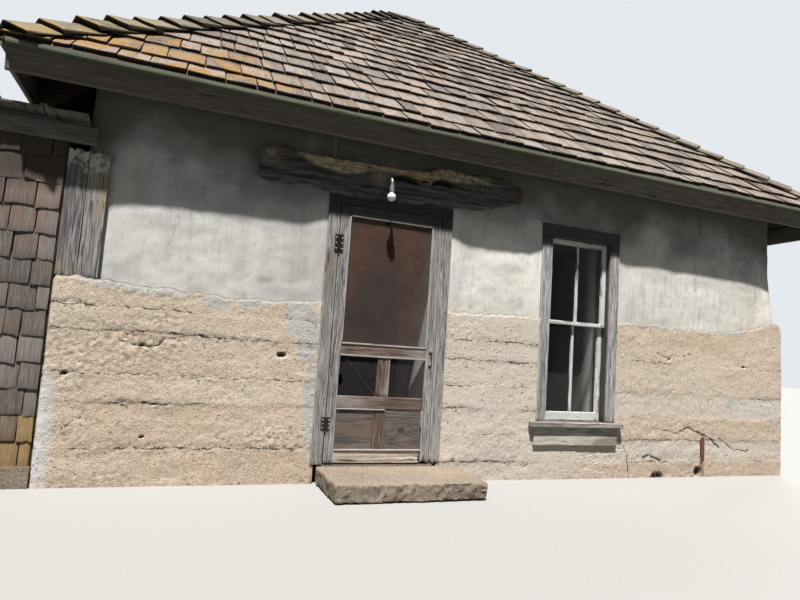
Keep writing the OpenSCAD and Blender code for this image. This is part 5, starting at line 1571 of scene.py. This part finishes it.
def slab_part():
    """Depth of the face = saw ripples + bark + knots - hollows - split, rounded off along its rim."""
    v = np.concatenate([[0, 0.012], np.linspace(0.035, 0.965, 33), [0.988, 1]])
    U, V = np.meshgrid(np.linspace(0, 1, 190), v, indexing="ij")
    x = -2.188 + U * 2.265
    low = np.interp(x, *SLAB_LOW.T) + 0.004 * ripple(xyz(x, 0 * x, 0 * x), 0.05, 71)
    top = np.interp(x, *SLAB_TOP.T) + 0.005 * ripple(xyz(x, 0 * x + 5, 0 * x), 0.06, 72)
    ends = 0.012 * ripple(xyz(V * 0.3, 0 * x, 0 * x), 0.04, 73)
    x = x + ends * (ease(U, 0.03, 0.0) + ease(U, 0.97, 1.0))
    z = low + (top - low) * V
    p = xyz(x, 0 * x, z)
    saw = 0.0013 * ripple(p, (0.5, 1, 0.018), 74) + 0.003 * ripple(p, 0.16, 75)
    rim = 0.02 * (ease(V, 0.05, 0.0) + ease(V, 0.95, 1.0)) + 0.012 * (ease(U, 0.008, 0.0) + ease(U, 0.992, 1.0))
    band = 0.075 + 0.03 * np.sin(x * 7.3 + 0.6) + 0.012 * ripple(xyz(x, 0 * x, 0 * x), 0.12, 76)
    band = band * ease(x, -2.1, -1.75) + 0.03 * ease(x, -0.75, -0.45)
    bark = ease(top - z, band + 0.012, band - 0.012) * ease(x, -2.0, -1.8)
    bark = bark * ease(x + 0.05 * np.sin(z * 60), -0.16, -0.36)
    hollow, knots, rings = (np.zeros(x.shape) for _ in range(3))
    for cx, cz, rx, rz in ROTTEN:
        away = np.hypot((x - cx) / rx, (z - cz + 0.25 * (x - cx) * (x - cx) / rx) / rz) + 0.14 * ripple(p, 0.05, 77)
        hollow = np.maximum(hollow, ease(away, 1.12, 0.85))
    for cx, cz, r in KNOTS:
        away = np.hypot(x - cx, z - cz)
        knots = np.maximum(knots, ease(away, r * 1.6, r * 0.5))
        rings = np.maximum(rings, ease(away, r * 3.2, r * 1.6))
        spin = np.abs(np.sin(np.arctan2(z - cz, x - cx) * 3.5 + away * 30))
        saw = saw - 0.004 * ease(spin, 0.12, 0.0) * ease(away, 0.11, 0.03)
    split = ease(along_line(x, z, [(-2.19, 2.33), (-2.05, 2.325), (-1.93, 2.335)]), 0.006, 0.001)
    height = 0.031 + saw + 0.008 * bark + 0.004 * bark * ripple(p, 0.025, 78) + 0.006 * knots
    height = height - 0.026 * hollow - 0.008 * split - rim
    y = -3.66 - np.maximum(height + 0.027, 0.004)
    return worked_block(xyz(x, y, z), xyz(x, 0 * x - 3.6582, z), {
        "bark": bark, "hollow": np.maximum(hollow, split), "knots": knots, "rings": rings, "grain": xyz(x, z, 0.3 * y)})


def slab_finish():
    """Nearly black grey wood, browner in its bands; rings round the knots, yellow bark, black hollows."""
    material, shader = start_finish("slab_wood")
    where = mark("grain", True)
    grain = use(grain_group, {"Place": where, "Fibre": 48.0, "Checks": 0.9})
    blotch = speckle(place(), 24.0, 4.0, 0.65)
    rings = mixed(spread(speckle(where, 60.0, 2.0), 0.4, 0.6), (0.14, 0.12, 0.09), (0.3, 0.27, 0.21))
    bark = layered(mixed(spread(blotch, 0.4, 0.62), (0.22, 0.18, 0.11), (0.46, 0.4, 0.26)),
                   (spread(speckle(place(), 5.0, 2.0), 0.52, 0.64), 1, (0.34, 0.2, 0.09)),
                   (spread(blotch, 0.68, 0.74), 1, (0.05, 0.04, 0.03)))
    colour = layered(
        mixed(spread(grain["Fibres"], 0.4, 0.6), (0.022, 0.022, 0.023), (0.13, 0.13, 0.126)),
        (spread(grain["Bands"], 0.5, 0.66), 0.5, (0.12, 0.09, 0.065)), (mark("rings"), 0.45, (0.24, 0.2, 0.13)),
        (mark("knots"), 1, rings), (mark("bark"), 1, bark), (grain["Checks"], 0.6, (0.03, 0.028, 0.025)),
        (mark("hollow"), 1, (0.016, 0.014, 0.013)),
    )
    surface(shader, colour, 0.88, 0.25)
    bumped(shader, grain["Height"], 0.9, 0.002)
    return material


make_piece("slab_face", slab_part(), slab_finish(), stands_for=("slab_board",))

# %% [markdown]
# ## Iron
# Horseshoes, bars, wires and screws are all a section carried along a path. `bar_along` finds the path's
# direction at each point, builds two directions square to it, and places the section's outline on them.

# %% Iron
def bar_along(path, outline, level=(0, -1, 0)):
    """Points path + outline[0] * across + outline[1] * level; across is square to the path and to level."""
    path, outline = np.asarray(path, float), np.asarray(outline, float)
    ahead = np.gradient(path, axis=0)
    ahead /= np.linalg.norm(ahead, axis=1, keepdims=True)
    across = np.cross(ahead, np.asarray(level, float))
    across /= np.linalg.norm(across, axis=1, keepdims=True)
    lift = np.cross(across, ahead)
    grid = path[:, None] + outline[None, :, 0:1] * across[:, None] + outline[None, :, 1:2] * lift[:, None]
    return grid.reshape(-1, 3), tube_faces(*grid.shape[:2]), {}


def wire_section(radius):
    turn = np.arange(6) * 2 * math.pi / 6
    return xyz(radius * np.cos(turn), radius * np.sin(turn))


def flat_section(wide, thick):
    return rounded_section(wide / 2, thick / 2, 0.0015, wide, thick)[0]


def rust_finish(name, sound, share=0.0, metallic=0.0, roughness=0.8, size=70.0):
    """Rust's three browns, with a plain colour where the metal or its paint is still sound."""
    material, shader = start_finish(name)
    rust = use(rust_group, {"Place": place(), "Size": size})
    colour = rust["Colour"]
    if sound is not None:
        colour = mixed(spread(rust["Height"], 0.5 + share * 0.2, 0.42 + share * 0.2), colour, sound)
    surface(shader, colour, roughness, Metallic=metallic)
    bumped(shader, rust["Height"], 0.8, 0.0012)
    return material


def horseshoe(cx, cz, wide, tall, y):
    """An arc of 290 degrees, open at the top, a little narrower at its heels."""
    turn = np.radians(np.linspace(125, 415, 44))
    pinch = 1 - 0.12 * np.abs(np.linspace(-1, 1, 44)) ** 4
    path = xyz(cx + wide / 2 * pinch * np.cos(turn), 0 * turn + y, cz + tall / 2 * np.sin(turn))
    return bar_along(path, flat_section(0.016, 0.007))


rust = rust_finish("rusty_steel", None)
dull_iron = rust_finish("dull_iron", (0.1, 0.095, 0.08), 0.4, 0.2, 0.7)
shoes = [horseshoe(-2.112, 2.446, 0.118, 0.1, -3.7245), horseshoe(0.017, 2.462, 0.1, 0.095, -3.7235)]
make_piece("horseshoes", join(shoes), dull_iron)
HOOK = [(2.204, -3.66, 2.7), (2.207, -3.663, 2.52), (2.2095, -3.664, 2.42), (2.2125, -3.665, 2.393),
        (2.222, -3.667, 2.38), (2.238, -3.67, 2.377), (2.25, -3.671, 2.389), (2.256, -3.671, 2.411)]
BARS = (
    (0.022, 0.01, (2.3, -3.648, 0.15), (2.298, -3.649, 0.26), (2.294, -3.65, 0.372)),
    (0.03, 0.008, (2.33, -3.64, 0.13), (2.322, -3.644, 0.26), (2.312, -3.648, 0.36)),
    (0.01, 0.006, (1.695, -3.662, 0.004), (1.693, -3.664, 0.05), (1.705, -3.664, 0.058), (1.775, -3.662, 0.056)),
)
bits = [bar_along(HOOK, wire_section(0.0035), (1, 0, 0))]
bits += [bar_along(path, flat_section(wide, thick)) for wide, thick, *path in BARS]
make_piece("old_iron", join(bits), rust)
brace = bar_along(np.linspace((-1.41, -3.652, 0.955), (-1.145, -3.652, 0.668), 12), wire_section(0.0014))
make_piece("door_brace_wire", brace, dull_iron, "screen_door")


def screw_heads(x, radius=0.0045):
    """Low domes: rings of falling radius over a disc, one small dome per hole of the two hinges, facing the front."""
    turn = np.arange(10) * 2 * math.pi / 10
    levels = np.array([(1.0, 0.0), (1.0, 0.3), (0.75, 0.75), (0.35, 1.0)]) * [radius, radius * 0.5]
    wide, out = levels[:, :1], levels[:, 1:]
    parts = []
    for z in (0.418, 0.447, 0.476, 1.795, 1.838, 1.881):
        grid = xyz(x + wide * np.cos(turn), -3.6701 - out + 0 * turn, z + wide * np.sin(turn))
        parts.append((grid.reshape(-1, 3), tube_faces(4, 10), {}))
    return join(parts)


bright = rust_finish("screw_steel", (0.62, 0.6, 0.57), 1.0, 0.7, 0.45)
make_piece("wall_leaf_screws", screw_heads(-1.553), bright)
make_piece("door_leaf_screws", screw_heads(-1.506), bright, "screen_door")

# %% [markdown]
# ## Finishes for the frame's own solids
# Walls, floor, sill, footing, plates, rafters, lamp, glass, hinges and pull are right as they were drawn, so they
# stay, and only get a finish. Their wood grain is turned to run along each member by a rotation of its place.

# %% Finishes for the frame's own solids
def inside_wood(name, turn, light=(0.2, 0.155, 0.115), dark=(0.08, 0.058, 0.042)):
    """Unweathered wood whose grain is turned by an angle round z."""
    return wood_finish(name, light, dark, grain_from=(0.0, 0.0, turn))


bulb, shader = start_finish("bulb_glass")
frost = speckle(place(), 120.0, 2.0)
surface(shader, mixed(frost, (0.8, 0.79, 0.77), (0.86, 0.86, 0.85)), spread(frost, 0.3, 0.7, 0.12, 0.22),
        Coat_Weight=0.3)
# Painted shade: the walls' inner faces go nearly black beyond about a quarter metre behind the front, standing in for
# the dark inside the house; the reveals near the front stay pale.
inner, shader = start_finish("inner_plaster")
clouded = speckle(place(), 2.0, 4.0)
surface(shader, mixed(spread(parts_of(place())[1], -3.36, -3.24),
                      mixed(clouded, (0.3, 0.29, 0.27), (0.4, 0.39, 0.37)),
                      mixed(clouded, (0.04, 0.036, 0.032), (0.09, 0.082, 0.072))), 0.95)
bumped(shader, clouded, 0.4, 0.006)
CLOTHED = (
    (inside_wood("floor_boards", 0.0, (0.13, 0.1, 0.075), (0.06, 0.043, 0.03)), "floor"),
    (inside_wood("plate_wood", 0.0), "wall_plates"),
    (inside_wood("rafter_front_back", math.pi / 2), "front_back_rafters"),
    (inside_wood("rafter_sides", 0.0), "side_rafters"),
    (inside_wood("hip_rafter_wood", math.pi / 4), "hip_rafters"),
    (rust_finish("grey_steel", (0.33, 0.37, 0.42), 0.9, 0.55, 0.42, 40.0), "lamp_pipe"),
    (rust_finish("brown_steel", (0.09, 0.075, 0.07), 0.6, 0.9, 0.35, 30.0), "screen_door_pull", "hinge_wall_leaves",
     "hinge_door_leaves"),
    (glass, "window_glass"),
    (bulb, "lamp_bulb"),
    (step_stone, "door_sill", "wing_foundation"),
    (deck_wood, "wing_front_wall", "wing_left_wall", "wing_back_wall"),
    (inner, "front_wall_left", "front_wall_middle", "front_wall_right", "front_wall_infill", "right_wall",
     "back_wall", "left_wall"),
)
for finish, *names in CLOTHED:
    for name in names:
        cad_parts[name].data.materials.clear()
        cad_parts[name].data.materials.append(finish)
print("finished", sum(len(row) - 1 for row in CLOTHED), "solids of the frame")

# %% [markdown]
# ## The frame's box
# The new surfaces must stay inside the frame's box, so that box is written down.

# %% The frame's box
print("frame box", [round(float(v), 4) for v in (*cad_low, *cad_high)])
